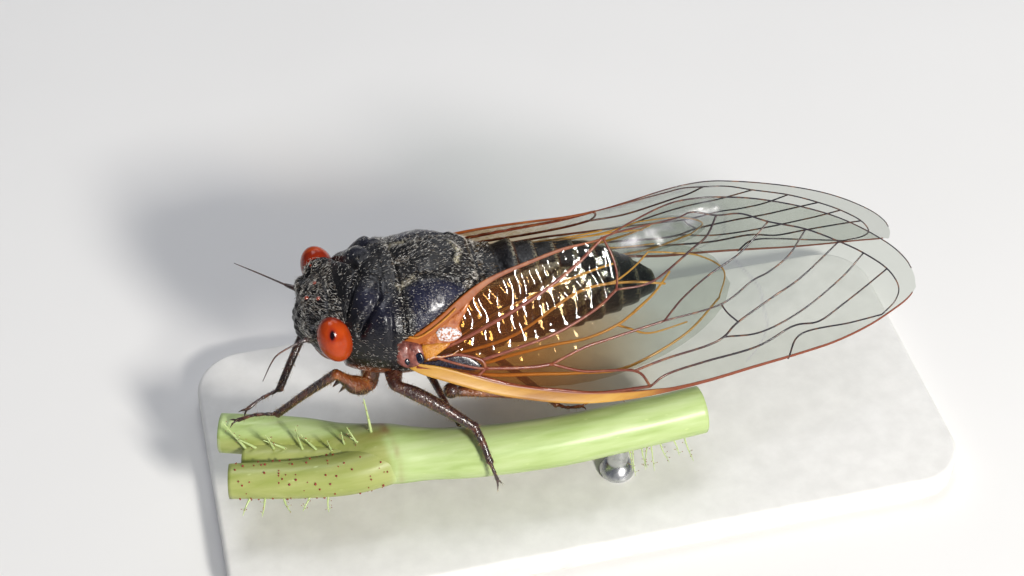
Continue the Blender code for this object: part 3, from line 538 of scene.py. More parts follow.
def caneFinish():
    made = Finish("cane", roughness=0.42, coat_weight=0.15, coat_roughness=0.3)
    red, olive, pale = made.paint(0), made.paint(1), made.paint(2)
    fibres = made.grain(0.55, 4, place=made.stretched((0.12, 1.0, 1.0)))
    flecks = made.between(made.pits(0.5, place=made.stretched((0.4, 1.0, 1.0))), 0.0, 0.16)
    green = made.ramp(fibres, [(0.25, (0.31, 0.43, 0.12)), (0.5, (0.42, 0.54, 0.21)),
                               (0.8, (0.52, 0.62, 0.31))])
    drab = made.ramp(fibres, [(0.25, (0.26, 0.31, 0.060)), (0.8, (0.42, 0.45, 0.16))])
    green = made.blend(olive, green, drab)
    green = made.blend((1.0 - flecks) * 0.6, green, (0.58, 0.68, 0.30))
    green = made.blend(pale, green, (0.60, 0.70, 0.34))
    made.set({"Base Color": made.blend(red, green, (0.26, 0.06, 0.030))})
    made.relief(fibres, 0.05, 0.4)
    return made


def plainFinish(name, low, high, size, roughness, depth, metallic=0.0):
    made = Finish(name, metallic=metallic)
    cloud = made.grain(size, 4)
    made.set({"Base Color": made.ramp(cloud, [(0.3, low), (0.7, high)]),
              "Roughness": made.between(cloud, 0.2, 0.8) * 0.12 + roughness})
    made.relief(cloud, depth, 0.4)
    return made


finishes = {
    "cuticle": cuticleFinish(),
    "eye": eyeFinish(),
    "ocellus": ocellusFinish(),
    "membrane": membraneFinish(),
    "vein": veinFinish("vein", (0.17, 0.032, 0.014), (0.016, 0.012, 0.020)),
    "goldVein": veinFinish("gold vein", (0.72, 0.34, 0.05), (0.36, 0.22, 0.06), (12.0, 20.0)),
    "rim": veinFinish("wing rim", (0.34, 0.085, 0.009), (0.20, 0.044, 0.007), (1.0, 6.0), 0.0, 0.9),
    "band": bandFinish(),
    "root": rootFinish(),
    "leg": legFinish(),
    "hair": hairFinish("silver hair", (0.95, 0.92, 0.85), (0.15, 0.11, 0.07)),
    "goldHair": hairFinish("gold hair", (0.52, 0.34, 0.13), (0.20, 0.11, 0.035)),
    "cane": caneFinish(),
    "gland": plainFinish("gland", (0.16, 0.012, 0.012), (0.34, 0.04, 0.025), 0.1, 0.25, 0.01),
    "base": plainFinish("stand base", (0.70, 0.69, 0.66), (0.78, 0.77, 0.74), 1.2, 0.42, 0.03),
    "steel": plainFinish("steel", (0.52, 0.53, 0.55), (0.66, 0.67, 0.69), 0.5, 0.22, 0.01, 1.0),
    "floor": plainFinish("floor", (0.78, 0.77, 0.75), (0.81, 0.80, 0.78), 40.0, 0.60, 0.2),
}
print("finishes made")

# Trunk: stations are x, top, waist (widest level), bottom, half width
trunk = {
    "from": -3.55, "rows": 108, "around": 168,
    "stations": [
        (-3.60, -0.72, -3.10, -6.00, 3.10), (-3.00, -0.42, -3.20, -6.30, 3.40),
        (-2.00, -0.10, -3.20, -6.60, 3.80), (-1.00, 0.02, -3.30, -6.70, 4.10),
        (0.00, 0.00, -3.40, -6.75, 4.15), (1.00, 0.28, -3.40, -6.80, 4.00), (2.00, 0.35, -3.50, -6.80, 3.80),
        (3.00, 0.15, -3.50, -6.80, 3.55), (4.00, -0.15, -3.50, -6.80, 3.40),
        (4.70, -0.75, -3.50, -6.75, 3.30), (5.60, -0.85, -3.60, -6.70, 3.15),
        (6.50, -0.68, -3.70, -6.70, 3.05), (8.00, -0.85, -3.85, -6.55, 2.95),
        (9.60, -1.20, -4.00, -6.40, 2.75), (11.20, -1.75, -4.15, -6.25, 2.40),
        (12.80, -2.55, -4.40, -6.00, 1.90), (14.30, -3.60, -4.70, -5.75, 1.20),
        (15.40, -4.60, -5.00, -5.40, 0.45)],
    "suture": -0.12, "sutureLean": 0.18, "scutumEnd": 4.35,
    "abdomen": (5.65, 15.2, 8), "ringStep": 0.14,
    # furrows and ridges in plan: from, to, half width, depth (negative is a ridge)
    "lines": [
        ((-2.20, 0.30), (-3.25, 2.25), 0.14, 0.34), ((-1.40, 2.15), (-1.90, 2.65), 0.15, 0.34),
        ((-1.90, 2.65), (-2.60, 3.10), 0.20, 0.42), ((-0.95, 0.00), (-0.90, 2.90), 0.09, 0.035),
        ((-0.90, 2.90), (-1.05, 3.90), 0.12, 0.14), ((-2.20, 0.30), (-1.20, 0.95), 0.14, 0.14),
        ((-1.20, 0.95), (-1.40, 2.15), 0.14, 0.10),
        ((-0.10, 1.65), (0.85, 1.42), 0.12, 0.18), ((0.85, 1.42), (3.20, 1.95), 0.12, 0.17),
        ((3.05, 0.95), (4.25, -0.95), 0.17, -0.17), ((0.2, 0.0), (2.8, 0.0), 0.06, 0.05),
        ((3.35, 2.1), (4.2, 1.2), 0.14, -0.10)],
    # swellings: x, y, radius, height
    "swells": [(-2.15, 1.75, 0.60, 0.22), (-1.42, 3.15, 0.66, 0.32), (1.9, 2.5, 1.2, 0.14),
               (-2.9, 0.9, 0.5, 0.08), (-3.0, 2.7, 0.40, 0.10), (-1.5, 0.35, 0.55, 0.06)],
}
trunk["lineRows"] = [(Vector(a), Vector(b), wide, deep) for a, b, wide, deep in trunk["lines"]]


def sutureAt(z):
    return trunk["suture"] + trunk["sutureLean"] * z * 0.35


def backRelief(p):  # how far the back stands out there
    flat = Vector((p.x, abs(p.y)))
    depth = 0.0
    for a, b, wide, deep in trunk["lineRows"]:
        gap = lineGap(flat, a, b)
        if gap < 3 * wide:
            here = deep * bell(gap, wide)
            depth = here if abs(here) > abs(depth) else depth
    out = -depth
    for x, y, radius, height in trunk["swells"]:
        away = math.hypot(p.x - x, abs(p.y) - y)
        out += height * bell(away, radius)
    seam = p.x - sutureAt(p.z)
    out -= 0.22 * bell(seam, 0.06)
    out += 0.03 * ease((seam + 0.9) / 0.25) * (1 - ease(seam / 0.1))
    end = p.x - trunk["scutumEnd"]
    out -= 0.16 * bell(end, 0.10)
    rough = noise.fractal(Vector(p) * 2.6, 1.0, 2.0, 4)
    return out + 0.03 * rough


def ringPart(x):  # how far along its ring of the abdomen x lies, 0 to 1
    start, end, count = trunk["abdomen"]
    return (x - start) / (end - start) * count % 1.0


def abdomenStep(x):  # the rings stand a little over one another
    part = ringPart(x)
    if x < trunk["abdomen"][0]:
        return 0.0
    stand = ease(part / 0.9) if part < 0.9 else 1.0 - ease((part - 0.95) / 0.05)
    return trunk["ringStep"] * (stand - 1.0)


def tuckUnderWings(p):  # keeps the body below the closed wings
    side = 1 if p.y > 0 else -1
    u, v, lift = wingMeasures(mirrored(p, -side))
    if -0.6 < u < 20.0:
        low, high = wingEdge(u)
        cover = ease((v - low + 0.3) / 0.4) * ease((high + 0.3 - v) / 0.4)
        inner = mix(0.22, 1.15, ease((u - 0.8) / 1.2) * ease((18.0 - u) / 3.0))
        room = inner if low < v < high - 0.6 else 0.25
        over = lift + room
        if over > 0 and cover > 0:
            p = p - mirrored(wingOut(u), -side) * over * cover
    return p


# Wing surface: u runs along the left wing from its hinge, v across it towards the ridge
wing = {
    "hinge": Vector((-0.3, -4.3, -4.0)), "tip": Vector((31.0, -2.2, -7.07)),
    "slope": 55.0, "twist": 12.0, "twistFrom": 9.0, "twistLength": 10.0, "camber": 1.25, "hindInset": 0.95,
    "lower": [(-0.2, 0.1), (0.6, -0.45), (1.8, -1.0), (3.9, -1.9), (5.9, -2.6), (8.6, -3.3), (10.7, -3.6),
              (13.7, -3.7), (17.5, -3.5), (20.6, -3.1), (24.0, -2.7), (26.0, -2.4), (28.2, -1.8),
              (29.9, -1.1), (31.0, -0.55), (31.6, 0.0)],
    "upper": [(-0.2, 1.5), (0.8, 2.0), (2.0, 2.75), (3.2, 3.6), (4.4, 4.28), (5.6, 4.70), (7.3, 5.13),
              (9.1, 5.55), (11.6, 5.9), (13.3, 6.7), (15.5, 7.6), (17.2, 7.8), (18.7, 7.7), (20.8, 7.3),
              (23.7, 6.4), (26.4, 5.2), (29.2, 3.4), (30.7, 2.0), (31.4, 0.8), (31.6, 0.0)],
    "hindLower": [(0.9, 0.0), (3.0, -1.2), (6.0, -2.1), (10.0, -2.5), (14.0, -2.0), (17.0, -0.8), (18.9, 0.9),
                  (19.3, 2.2)],
    "hindUpper": [(0.9, 0.2), (1.2, 1.0), (2.8, 2.4), (5.0, 3.6), (8.0, 4.2), (12.0, 4.7), (15.5, 5.0),
                  (18.2, 4.0), (19.3, 2.2)],
}
wingSpan = (wing["tip"] - wing["hinge"]).length
wingAlong = (wing["tip"] - wing["hinge"]).normalized()


def wingAxes(u):
    slope = math.radians(wing["slope"] + wing["twist"] * ease((u - wing["twistFrom"]) / wing["twistLength"]))
    across = Vector((0, math.cos(slope), math.sin(slope)))
    across = (across - wingAlong * across.dot(wingAlong)).normalized()
    outward = wingAlong.cross(across)
    return across, outward if outward.z > 0 else -outward


def wingOut(u):
    return wingAxes(u)[1]


def wingHeight(u, v):
    swell = math.sin(math.pi * min(max(u / wingSpan, 0.0), 1.0)) ** 0.6
    return wing["camber"] * swell * (1 - 0.25 * ((v - 1.5) / 5.0) ** 2)


def wingPoint(u, v, lift):
    across, outward = wingAxes(u)
    return wing["hinge"] + wingAlong * u + across * v + outward * (wingHeight(u, v) + lift)


def wingMeasures(p):  # u, v and lift of a point beside the left wing
    d = Vector(p) - wing["hinge"]
    u = d.dot(wingAlong)
    across, outward = wingAxes(u)
    v = d.dot(across)
    return u, v, d.dot(outward) - wingHeight(u, v)


def wingEdge(u, low="lower", high="upper"):
    return rowAt(wing[low], u)[1], rowAt(wing[high], u)[1]


def trunkRows():
    start, end, count = trunk["abdomen"]
    length = (end - start) / count
    xs = [mix(trunk["from"], start, i / trunk["rows"]) for i in range(trunk["rows"])]
    parts = (0.0, 0.1, 0.2, 0.3, 0.4, 0.5, 0.6, 0.7, 0.8, 0.88, 0.94, 0.99)
    for ring in range(count):
        xs += [start + length * (ring + part) for part in parts]
    return xs + [end]


def trunkForm():
    xs = trunkRows()
    rows = [rowAt(trunk["stations"], x) for x in xs]

    def place(u, v):
        x, top, waist, bottom, half = rows[round(v * (len(xs) - 1))]
        a = 2 * math.pi * u - math.pi / 2
        c, s = math.cos(a), math.sin(a)
        grow = abdomenStep(x)
        height = (top - waist if s > 0 else waist - bottom) + grow
        p = Vector((x, (half + grow) * math.copysign(abs(c) ** 0.9, c),
                    waist + height * math.copysign(abs(s) ** (0.9 if s > 0 else 1.0), s)))
        if p.z > -3.9 and x < 5.4:
            way = Vector((0, p.y * 0.6, p.z + 4.6)).normalized()
            p += way * backRelief(p) * ease((p.z + 3.9) / 0.5)
        elif x > 5.4:
            p += Vector((0, c, s)) * 0.03 * noise.fractal(p * 2.2, 1.0, 2.0, 3)
        return tuckUnderWings(p)
    return skin(trunk["around"], len(xs) - 1, place)


def trunkPaint(p, n):
    y = abs(p.y)
    orange = ease((-4.7 - p.z) / 0.5) if p.x < 5.6 else ease((-5.4 - p.z) / 0.5) * 0.7
    if p.x < -1.2:
        orange = max(orange, ease((-4.2 - p.z) / 0.5))
    pale = 0.0
    if p.x > trunk["abdomen"][0]:
        ring = ringPart(p.x)
        pale = 0.40 * ease((ring - 0.72) / 0.14) * (1 - ease((ring - 0.93) / 0.04)) * ease((p.z + 5.2) / 1.5)
        if ring > 0.9:
            orange = max(orange, 0.25)
    # where the painted blue sheen goes: the swollen lobes and the side lobes of the back
    lobes = sum(bell(math.hypot(p.x - x, y - at), r)
                for x, at, r in ((-2.08, 1.88, 0.75), (-1.36, 3.06, 0.85)))
    side = ease((p.x - 0.05) / 0.5) * ease((4.0 - p.x) / 0.8) * ease((y - 1.4 - 0.1 * p.x) / 0.8)
    lobeSheen = min(1.0, max(0.6 * lobes, side)) * (1 - orange) * ease((p.z + 3.9) / 0.3)
    flat = Vector((p.x, y))
    for a, b, wide in (((-0.2, 1.70), (0.75, 1.46), 0.13), ((3.22, 0.84), (3.58, 0.0), 0.12)):
        pale = max(pale, 0.9 * bell(lineGap(flat, Vector(a), Vector(b)), wide))
    return orange, lobeSheen, pale


print("trunk")
body = painted(trunkForm(), trunkPaint)
bodyCopy = body.copy()
piece(body, "trunk", finishes["cuticle"], "black_cuticle",
      ("pronotum", "mesonotum", "metanotum", "thorax", "abdomen"))

# Head
head = {
    "from": -5.78, "to": -3.25, "rows": 40, "around": 72,
    "stations": [
        (-5.80, -2.75, -3.05, -3.60, 0.85), (-5.50, -2.10, -2.80, -3.95, 1.55),
        (-5.10, -1.68, -2.60, -4.70, 2.20), (-4.55, -1.25, -2.60, -5.40, 2.65),
        (-4.00, -0.93, -2.60, -5.70, 2.85), (-3.20, -0.55, -2.60, -5.60, 2.95)],
    "eye": (-4.08, 2.88, -2.28), "eyeRadii": (0.95, 1.05, 1.50), "eyeTilt": 12.0,
    "look": (-0.15, -0.56, 0.82), "spot": (0.105, 0.195),  # where the eye's painted dark spot faces, its half sizes: the shade an eye shows towards the viewer, painted in one fixed direction
    "plate": (-4.95, 1.60, -2.50), "plateRadii": (0.74, 0.92, 0.48), "plateTilt": 35.0,
    "clypeus": (-4.75, 0.0, -3.35), "clypeusRadii": (1.36, 1.23, 1.60), "clypeusBack": -4.35,
    "ocelli": [(-5.14, 0.0, -1.66), (-4.55, 0.62, -1.24), (-4.55, -0.62, -1.24)], "ocellus": 0.15,
    "socket": (0.08, -0.54, -0.06), "socketRadii": (0.98, 0.82, 1.36), "feelerKnob": (-5.22, 1.85, -2.88),
    "feelerKnobRadii": (0.36, 0.32, 0.34), "ocellusSeat": (0.30, 0.26, 0.24),
    "groove": ((-5.5, 1.05), (-4.6, 2.10)),  # above each feeler, seen from the top
}


def tilted(degrees):
    return Matrix.Rotation(math.radians(-degrees), 4, "Y")


def headLoft():
    count = head["rows"]
    rows = [rowAt(head["stations"], mix(head["from"], head["to"], i / count)) for i in range(count + 1)]

    def place(u, v):
        x, top, waist, bottom, half = rows[round(v * count)]
        a = 2 * math.pi * u
        c, s = math.cos(a), math.sin(a)
        height = top - waist if s > 0 else waist - bottom
        return Vector((x, half * math.copysign(abs(c) ** 0.82, c),
                       waist + height * math.copysign(abs(s) ** (0.82 if s > 0 else 1.2), s)))
    return skin(head["around"], count, place)


def headForm():
    forms = [headLoft()]
    for side in (1, -1):
        plate = mirrored(head["plate"], side)
        forms.append(ballForm(plate, head["plateRadii"], turn=tilted(-head["plateTilt"])))
        socket = mirrored(head["eye"], side) + mirrored(head["socket"], side)
        forms.append(ballForm(socket, head["socketRadii"], 32, 24, tilted(head["eyeTilt"])))
        forms.append(ballForm(mirrored(head["feelerKnob"], side), head["feelerKnobRadii"]))
    for p in head["ocelli"]:
        forms.append(ballForm(Vector(p) - Vector((-0.05, 0, 0.12)), head["ocellusSeat"]))
    bm = blended(forms, 0.055, 3)
    start, end = (Vector(p) for p in head["groove"])
    for v in bm.verts:
        p = v.co
        y = abs(p.y)
        out = 0.026 * noise.fractal(p * 2.2, 1.0, 2.0, 4)
        out -= 0.16 * bell(lineGap(Vector((p.x, y)), start, end), 0.14) * ease((p.z + 3.0) / 0.5)
        behind = bell(p.x + 4.02 + 0.10 * y, 0.10)
        out -= 0.10 * behind * ease((p.z + 2.4) / 0.4) * ease((2.0 - y) / 0.4)
        out -= 0.09 * bell(y, 0.10) * ease((p.z + 2.4) / 0.6) * ease((-4.3 - p.x) / 0.2)
        v.co += v.normal * out
    return bm


def headPaint(p, n):
    return ease((-3.9 - p.z) / 0.6) * 0.85, 0.0, 0.0


def eyeForm(side):
    middle = mirrored(head["eye"], side)
    bm = ballForm(middle, head["eyeRadii"], 96, 64, tilted(head["eyeTilt"]))
    look = mirrored(head["look"], -side).normalized()
    wide = look.cross(Vector((0, 0, 1))).normalized()
    tall = wide.cross(look)

    def eyePaint(p, n):
        way = (p - middle).normalized()
        across, high = way.dot(wide), way.dot(tall)
        # the dark spot: the shade an eye shows towards the viewer, painted in one fixed direction
        spot = math.hypot(across / head["spot"][0], high / head["spot"][1]) if way.dot(look) > 0 else 9.0
        # painted shade: darker where the eye turns in towards the head
        rim = 0.8 * ease((0.04 - n.y * side) / 0.2)
        return rim, 1 - ease((spot - 0.75) / 0.5), 0.8 * (1 - ease((spot - 0.6) / 1.7))
    return painted(bm, eyePaint)


print("head")
headSkin = painted(headForm(), headPaint)
headCopy = headSkin.copy()
piece(headSkin, "headCapsule", finishes["cuticle"], "black_cuticle", ("head",))
for side, label in ((1, "right"), (-1, "left")):
    piece(eyeForm(side), "eyeball_" + label, finishes["eye"], "eye", ("eye_" + label,))
ocelli = joined([ballForm(p, (head["ocellus"],) * 3, 20, 14) for p in head["ocelli"]])
piece(ocelli, "ocelli", finishes["ocellus"], "eye")


def clypeusForm():
    middle = Vector(head["clypeus"])
    bm = ballForm(middle, head["clypeusRadii"], 72, 90)
    bmesh.ops.bisect_plane(bm, geom=bm.verts[:] + bm.edges[:] + bm.faces[:], clear_outer=True,
                           plane_co=(head["clypeusBack"], 0, 0), plane_no=(1, 0, 0))
    bmesh.ops.holes_fill(bm, edges=[e for e in bm.edges if e.is_boundary], sides=0)
    for v in bm.verts:
        out = (v.co - middle).normalized()
        height = (v.co.z - middle.z) / head["clypeusRadii"][2]
        rib = 0.045 * math.cos(height * math.pi * 7.0 + 1.2 * abs(v.co.y)) * ease(abs(v.co.y) / 0.5)
        furrow = 0.14 * bell(v.co.y, 0.28)
        if v.co.x < head["clypeusBack"] - 0.1:
            v.co += out * (rib - furrow)
    return bm


bulb = painted(clypeusForm(), lambda p, n: (0.0, 0.0, 0.0))
piece(bulb, "faceBulb", finishes["cuticle"], "black_cuticle", ("clypeus",))
rostrum = joined([
    limbForm([(-4.60, 0.0, -5.55), (-4.20, 0.0, -6.30), (-3.20, 0.0, -6.95), (-1.40, 0.0, -7.42)],
             [0.44, 0.38, 0.26, 0.20, 0.12], 0.12, 20),
    limbForm([(-4.3, 0.0, -6.05), (-3.2, 0.0, -6.75), (-1.6, 0.0, -7.20)], [0.20, 0.12, 0.06], 0.15, 10)])
beak = painted(rostrum, lambda p, n: (1 - ease((p.x + 2.6) / 0.8), 0, 0))
piece(beak, "beak", finishes["leg"], "underside", ("rostrum",))

antennae = {
    "root": (-5.25, 1.90, -2.85),
    "left": [(-5.90, 2.12, -2.80), (-7.13, 2.50, -3.02), (-7.66, 2.70, -3.44), (-8.30, 3.05, -4.45)],
    "right": [(-5.90, 2.30, -2.75), (-7.30, 3.20, -2.35), (-8.70, 3.95, -1.85)],
}
for side, label in ((-1, "left"), (1, "right")):
    points = [mirrored(p, side) for p in [antennae["root"]] + antennae[label]]
    base = points[0] + (points[1] - points[0]) * 0.55
    forms = [limbForm([points[0], base], [0.22, 0.20, 0.15], 0.06, 16),
             limbForm([base, points[1] + (points[2] - points[1]) * 0.12], [0.15, 0.13, 0.09], 0.06, 14),
             limbForm([points[1]] + points[2:], [0.065, 0.05, 0.045, 0.035, 0.02], 0.12, 10)]
    feeler = painted(joined(forms), lambda p, n: (0, 0, 0))
    piece(feeler, "feeler_" + label, finishes["leg"], "leg", ("antenna_" + label,))

# Wings
veins = {  # radius at the start and the end, then points along and across
    "costa": (0.13, 0.10, [(0.4, 0.0), (1.8, -0.4), (3.7, -1.0), (6.0, -1.9), (8.4, -2.5), (10.7, -3.0),
                           (13.9, -3.1)]),
    "basalTop": (0.11, 0.10, [(0.4, 0.6), (1.5, 0.4), (2.7, 0.4), (4.0, -0.1), (4.2, -0.6)]),
    "basalLow": (0.09, 0.09, [(1.5, 0.4), (2.6, -0.1), (3.7, -0.5), (4.2, -0.6)]),
    "arculus": (0.10, 0.12, [(4.2, -0.6), (3.7, -1.0)]),
    "cubitus": (0.10, 0.085, [(4.0, -0.1), (6.1, 0.3), (8.6, 0.9), (10.8, 1.9), (12.1, 2.9)]),
    "cubitusEnd": (0.07, 0.07, [(12.1, 2.9), (12.2, 3.8), (12.0, 4.9), (11.6, 5.9)]),
    "cubitusBranch": (0.07, 0.06, [(12.1, 2.9), (13.5, 3.0), (14.6, 3.4), (16.6, 4.9), (17.5, 5.6),
                                   (18.1, 6.7)]),
    "anal": (0.13, 0.09, [(0.4, 0.6), (2.4, 1.0), (5.3, 2.1), (7.7, 3.2), (9.9, 4.5), (11.6, 5.9)]),
    "media": (0.11, 0.10, [(4.2, -0.6), (6.7, -0.9), (8.0, -0.9)]),
    "mediaUpper": (0.09, 0.07, [(8.0, -0.9), (10.0, -0.2), (11.5, 0.1), (14.8, 0.8)]),
    "mediaOne": (0.06, 0.05, [(14.8, 0.8), (16.0, 2.1), (17.6, 3.3), (19.6, 4.4), (21.3, 5.9)]),
    "mediaTwo": (0.06, 0.05, [(14.8, 0.8), (18.3, 1.4), (20.2, 2.5), (21.3, 2.9), (22.6, 3.7), (23.7, 5.1)]),
    "mediaLower": (0.09, 0.08, [(8.0, -0.9), (9.9, -1.6), (12.9, -2.0), (13.9, -3.1)]),
    "radius": (0.08, 0.05, [(12.9, -2.0), (15.0, -1.5), (17.4, -1.1), (18.5, -0.7), (19.4, 0.1), (21.6, 1.3),
                            (23.4, 2.2), (25.9, 4.0)]),
    "radiusCross": (0.05, 0.05, [(18.3, 1.4), (18.7, 0.8), (19.4, 0.1)]),
    "radiusTwo": (0.06, 0.05, [(18.5, -0.7), (20.9, -0.8), (23.5, 0.1), (26.1, 1.7), (27.6, 3.0)]),
    "radiusThree": (0.08, 0.05, [(13.9, -3.1), (15.0, -2.5), (17.4, -2.1), (20.7, -1.7), (23.0, -0.8),
                                 (24.7, -0.8), (26.3, 0.0), (29.3, 1.7)]),
    "radiusFour": (0.06, 0.05, [(22.8, -2.9), (23.6, -1.4), (26.9, -1.3), (29.1, -1.2)]),
    "border": (0.05, 0.045, [(11.6, 5.9), (12.8, 6.2), (15.7, 6.7), (16.7, 7.0), (18.1, 6.7), (19.6, 6.6),
                             (21.3, 5.9), (23.7, 5.1), (25.9, 4.0), (27.6, 3.0), (29.3, 1.7), (30.2, 0.4),
                             (30.0, -0.5), (29.1, -1.2)]),
}
hindVeins = {
    "front": (0.13, 0.07, [(1.4, 0.0), (3.0, -0.8), (4.96, -1.27), (7.56, -1.59), (9.8, -1.87), (12.85, -2.0),
                           (16.4, -0.6), (18.6, 1.4)]),
    "middle": (0.11, 0.08, [(1.4, 0.2), (3.58, -0.55), (6.04, -0.26), (8.45, -0.02), (10.54, 0.09),
                            (12.32, 0.61), (13.31, 1.19)]),
    "middleFork": (0.07, 0.05, [(12.32, 0.61), (12.96, 0.34), (14.29, -0.15), (16.6, 0.2)]),
    "upper": (0.09, 0.06, [(13.31, 1.19), (14.6, 2.2), (15.6, 3.4)]),
    "rear": (0.10, 0.07, [(1.4, 0.2), (4.14, 0.41), (6.49, 0.95), (9.2, 2.37), (10.19, 2.81), (11.5, 3.05),
                          (13.5, 3.0), (15.3, 2.7)]),
    "anal": (0.08, 0.06, [(1.4, 0.3), (4.5, 1.9), (8.0, 3.1), (11.0, 3.9), (12.46, 4.2)]),
    "fan": (0.06, 0.05, [(11.5, 3.05), (12.46, 3.2), (13.58, 3.9), (14.4, 4.65)]),
    "margin": (0.05, 0.05, [(14.4, 4.65), (15.6, 4.5), (17.44, 4.1), (18.9, 3.0), (18.6, 1.4)]),
}
veinLines = {name: smoothLine(row[2], 0.18) for name, row in veins.items()}
hindLines = {name: smoothLine(row[2], 0.25) for name, row in hindVeins.items()}


def treeOf(lines):
    points = [p for line in lines for p in line]
    tree = KDTree(len(points))
    for i, p in enumerate(points):
        tree.insert((p.x, p.y, 0.0), i)
    tree.balance()
    return tree


veinTree = treeOf(veinLines.values())
hindTree = treeOf(hindLines.values())


def lineHeight(line, u):  # v of a line that runs along u
    for a, b in zip(line, line[1:]):
        if a.x <= u <= b.x:
            return mix(a.y, b.y, (u - a.x) / max(b.x - a.x, 1e-6))
    return line[0].y if u < line[0].x else line[-1].y


def puckered(u, v):  # how strongly the membrane is crumpled there, 0 to 1
    low = lineHeight(veinLines["cubitus"], u) if u > 4.0 else lineHeight(veinLines["basalTop"], u)
    return ease((v - low) / 0.5) * ease((12.2 - u) / 0.8) * ease((u - 1.5) / 1.5)


def membraneLift(u, v):
    gap = veinTree.find((u, v, 0.0))[2]
    edges = wingEdge(u)
    gap = min(gap, max(v - edges[0], 0.0), max(edges[1] - v, 0.0))
    free = 1 - bell(gap, 0.45)
    pucker = puckered(u, v)
    wave = math.sin(2 * math.pi * (u * 1.15 + 0.22 * v) + 2.2 * noise.noise(Vector((u * 0.6, v * 0.9, 4.0))))
    fold = noise.noise(Vector((u * 1.5, v * 0.75, 9.0)))
    broad = noise.noise(Vector((u * 0.33, v * 0.33, 1.5)))
    outer = ease((u - 12.0) / 4.0)
    crumpled = pucker * (0.080 * wave + 0.04 * fold + 0.03 * broad)
    return free * (crumpled + (1 - pucker) * (0.015 + 0.02 * outer) * fold + 0.05 * outer * broad)


nodalLine = [Vector(p) for p in (  # the pale fold across the veins
    (19.1, 4.0), (19.7, 3.3), (20.5, 2.4), (20.8, 1.9), (21.0, 0.8), (21.3, -0.4), (21.1, -1.2), (20.6, -2.0),
    (20.1, -2.5))]
sheenLine = Vector((12.8, 5.3)), Vector((17.8, 7.1))  # a painted reflection of the sky, a pale lilac stretch along the rear edge


def membranePaint(u, v):  # how amber, and how pale: the pale fold, and the painted reflection along the rear edge
    spot = Vector((u, v))
    amber = ease((16.0 - u - 0.9 * max(v - 1.0, 0.0)) / 12.0)
    foldAndSheen = 0.0
    if 18 < u < 22.5:
        foldAndSheen = max(bell(lineGap(spot, a, b), 0.07) for a, b in zip(nodalLine, nodalLine[1:]))
    sheen = bell(lineGap(spot, *sheenLine), 0.55)
    streak = 0.55 + 0.8 * noise.noise(Vector((u * 0.9 - v * 0.6, v * 2.2 + u * 0.5, 3.0)))
    return amber, max(0.5 * foldAndSheen, 0.8 * sheen * min(max(streak, 0.0), 1.0))


def hindLift(u, v):
    free = 1 - bell(hindTree.find((u, v, 0.0))[2], 0.5)
    wave = math.sin(5.4 * u + 2.2 * v + 2.0 * noise.noise(Vector((u * 0.6, v * 0.6, 2.0))))
    return 0.07 * wave * ease((13.0 - u) / 3.0) * free - wing["hindInset"]


membranes = {  # edges, rows along and across, height over the wing's surface
    "fore": ("lower", "upper", 250, 84, membraneLift),
    "hind": ("hindLower", "hindUpper", 150, 44, hindLift),
}


def membraneForm(side, kind):
    lower, upper, columns, rows, lift = membranes[kind]
    first, last = wing[lower][0][0], wing[lower][-1][0]
    bm = bmesh.new()
    bmesh.ops.create_grid(bm, x_segments=columns, y_segments=rows, size=0.5)
    layer = bm.verts.layers.float_color.new("paint")
    for corner in bm.verts:
        s, t = round((corner.co.x + 0.5) * columns) / columns, round((corner.co.y + 0.5) * rows) / rows
        u = first + (last - first) * (1 - (1 - s) ** 1.5)
        v = mix(*wingEdge(u, lower, upper), t)
        corner.co = mirrored(wingPoint(u, v, lift(u, v)), -side)
        amber, foldAndSheen = membranePaint(u, v)
        corner[layer] = (amber, 0.0, foldAndSheen if kind == "fore" else 0.0, 1.0)
    bmesh.ops.remove_doubles(bm, verts=bm.verts, dist=1e-4)
    bmesh.ops.recalc_face_normals(bm, faces=bm.faces)
    if sum(f.normal.y * side for f in bm.faces) < 0:
        bmesh.ops.reverse_faces(bm, faces=bm.faces)
    return bm


# A tube that keeps to the wing's surface
def veinForm(line, first, final, side, inset=0.0, sides=8, flat=0.85):
    last = len(line) - 1
    stations = []
    for i, (p, way) in enumerate(zip(line, waysAlong(line))):
        radius = mix(first, final, i / last)
        if i == 0:
            stations.append((p - way * radius * 0.6, way, 0.0))
        stations.append((p, way, radius))
        if i == last:
            stations.append((p + way * radius * 0.6, way, 0.0))

    def place(u, v):
        p, way, radius = stations[round(v * (len(stations) - 1))]
        a = 2 * math.pi * u
        q = p + Vector((-way.y, way.x)) * math.cos(a) * radius
        return mirrored(wingPoint(q.x, q.y, math.sin(a) * radius * flat - inset), -side)
    return skin(sides, len(stations) - 1, place)


def bandForm(side, start, end, middle, half, thick, count):  # a flat band with raised edges
    def place(a, t):
        u = mix(start, end, t)
        turn = 2 * math.pi * a
        c, s = math.cos(turn), math.sin(turn)
        high = math.copysign(abs(s) ** 0.5, s) * (0.60 + 0.55 * abs(c) ** 3)
        return mirrored(wingPoint(u, middle(u) + half(u) * c, thick(u) * high), -side)
    return skin(20, count, place)


costalWidths = [(-0.2, 0.20), (1.6, 0.40), (5.0, 0.40), (8.3, 0.38), (12.0, 0.28), (13.9, 0.20), (15.5, 0.12),
                (20.0, 0.09), (31.6, 0.05)]
rimLower = [(-0.3, 0.9), (0.61, 1.2), (1.3, 1.42), (1.86, 1.66), (2.77, 2.40), (3.7, 3.28), (4.6, 3.98),
            (5.6, 4.44), (7.3, 4.92), (9.1, 5.36), (11.8, 5.80)]


def costalMiddle(u):
    return wingEdge(u)[0] + costalHalf(u)


def costalHalf(u):
    return rowAt(costalWidths, u)[1]


def rimMiddle(u):
    return (wingEdge(u)[1] + rowAt(rimLower, u)[1]) / 2


def rimHalf(u):
    return (wingEdge(u)[1] - rowAt(rimLower, u)[1]) / 2


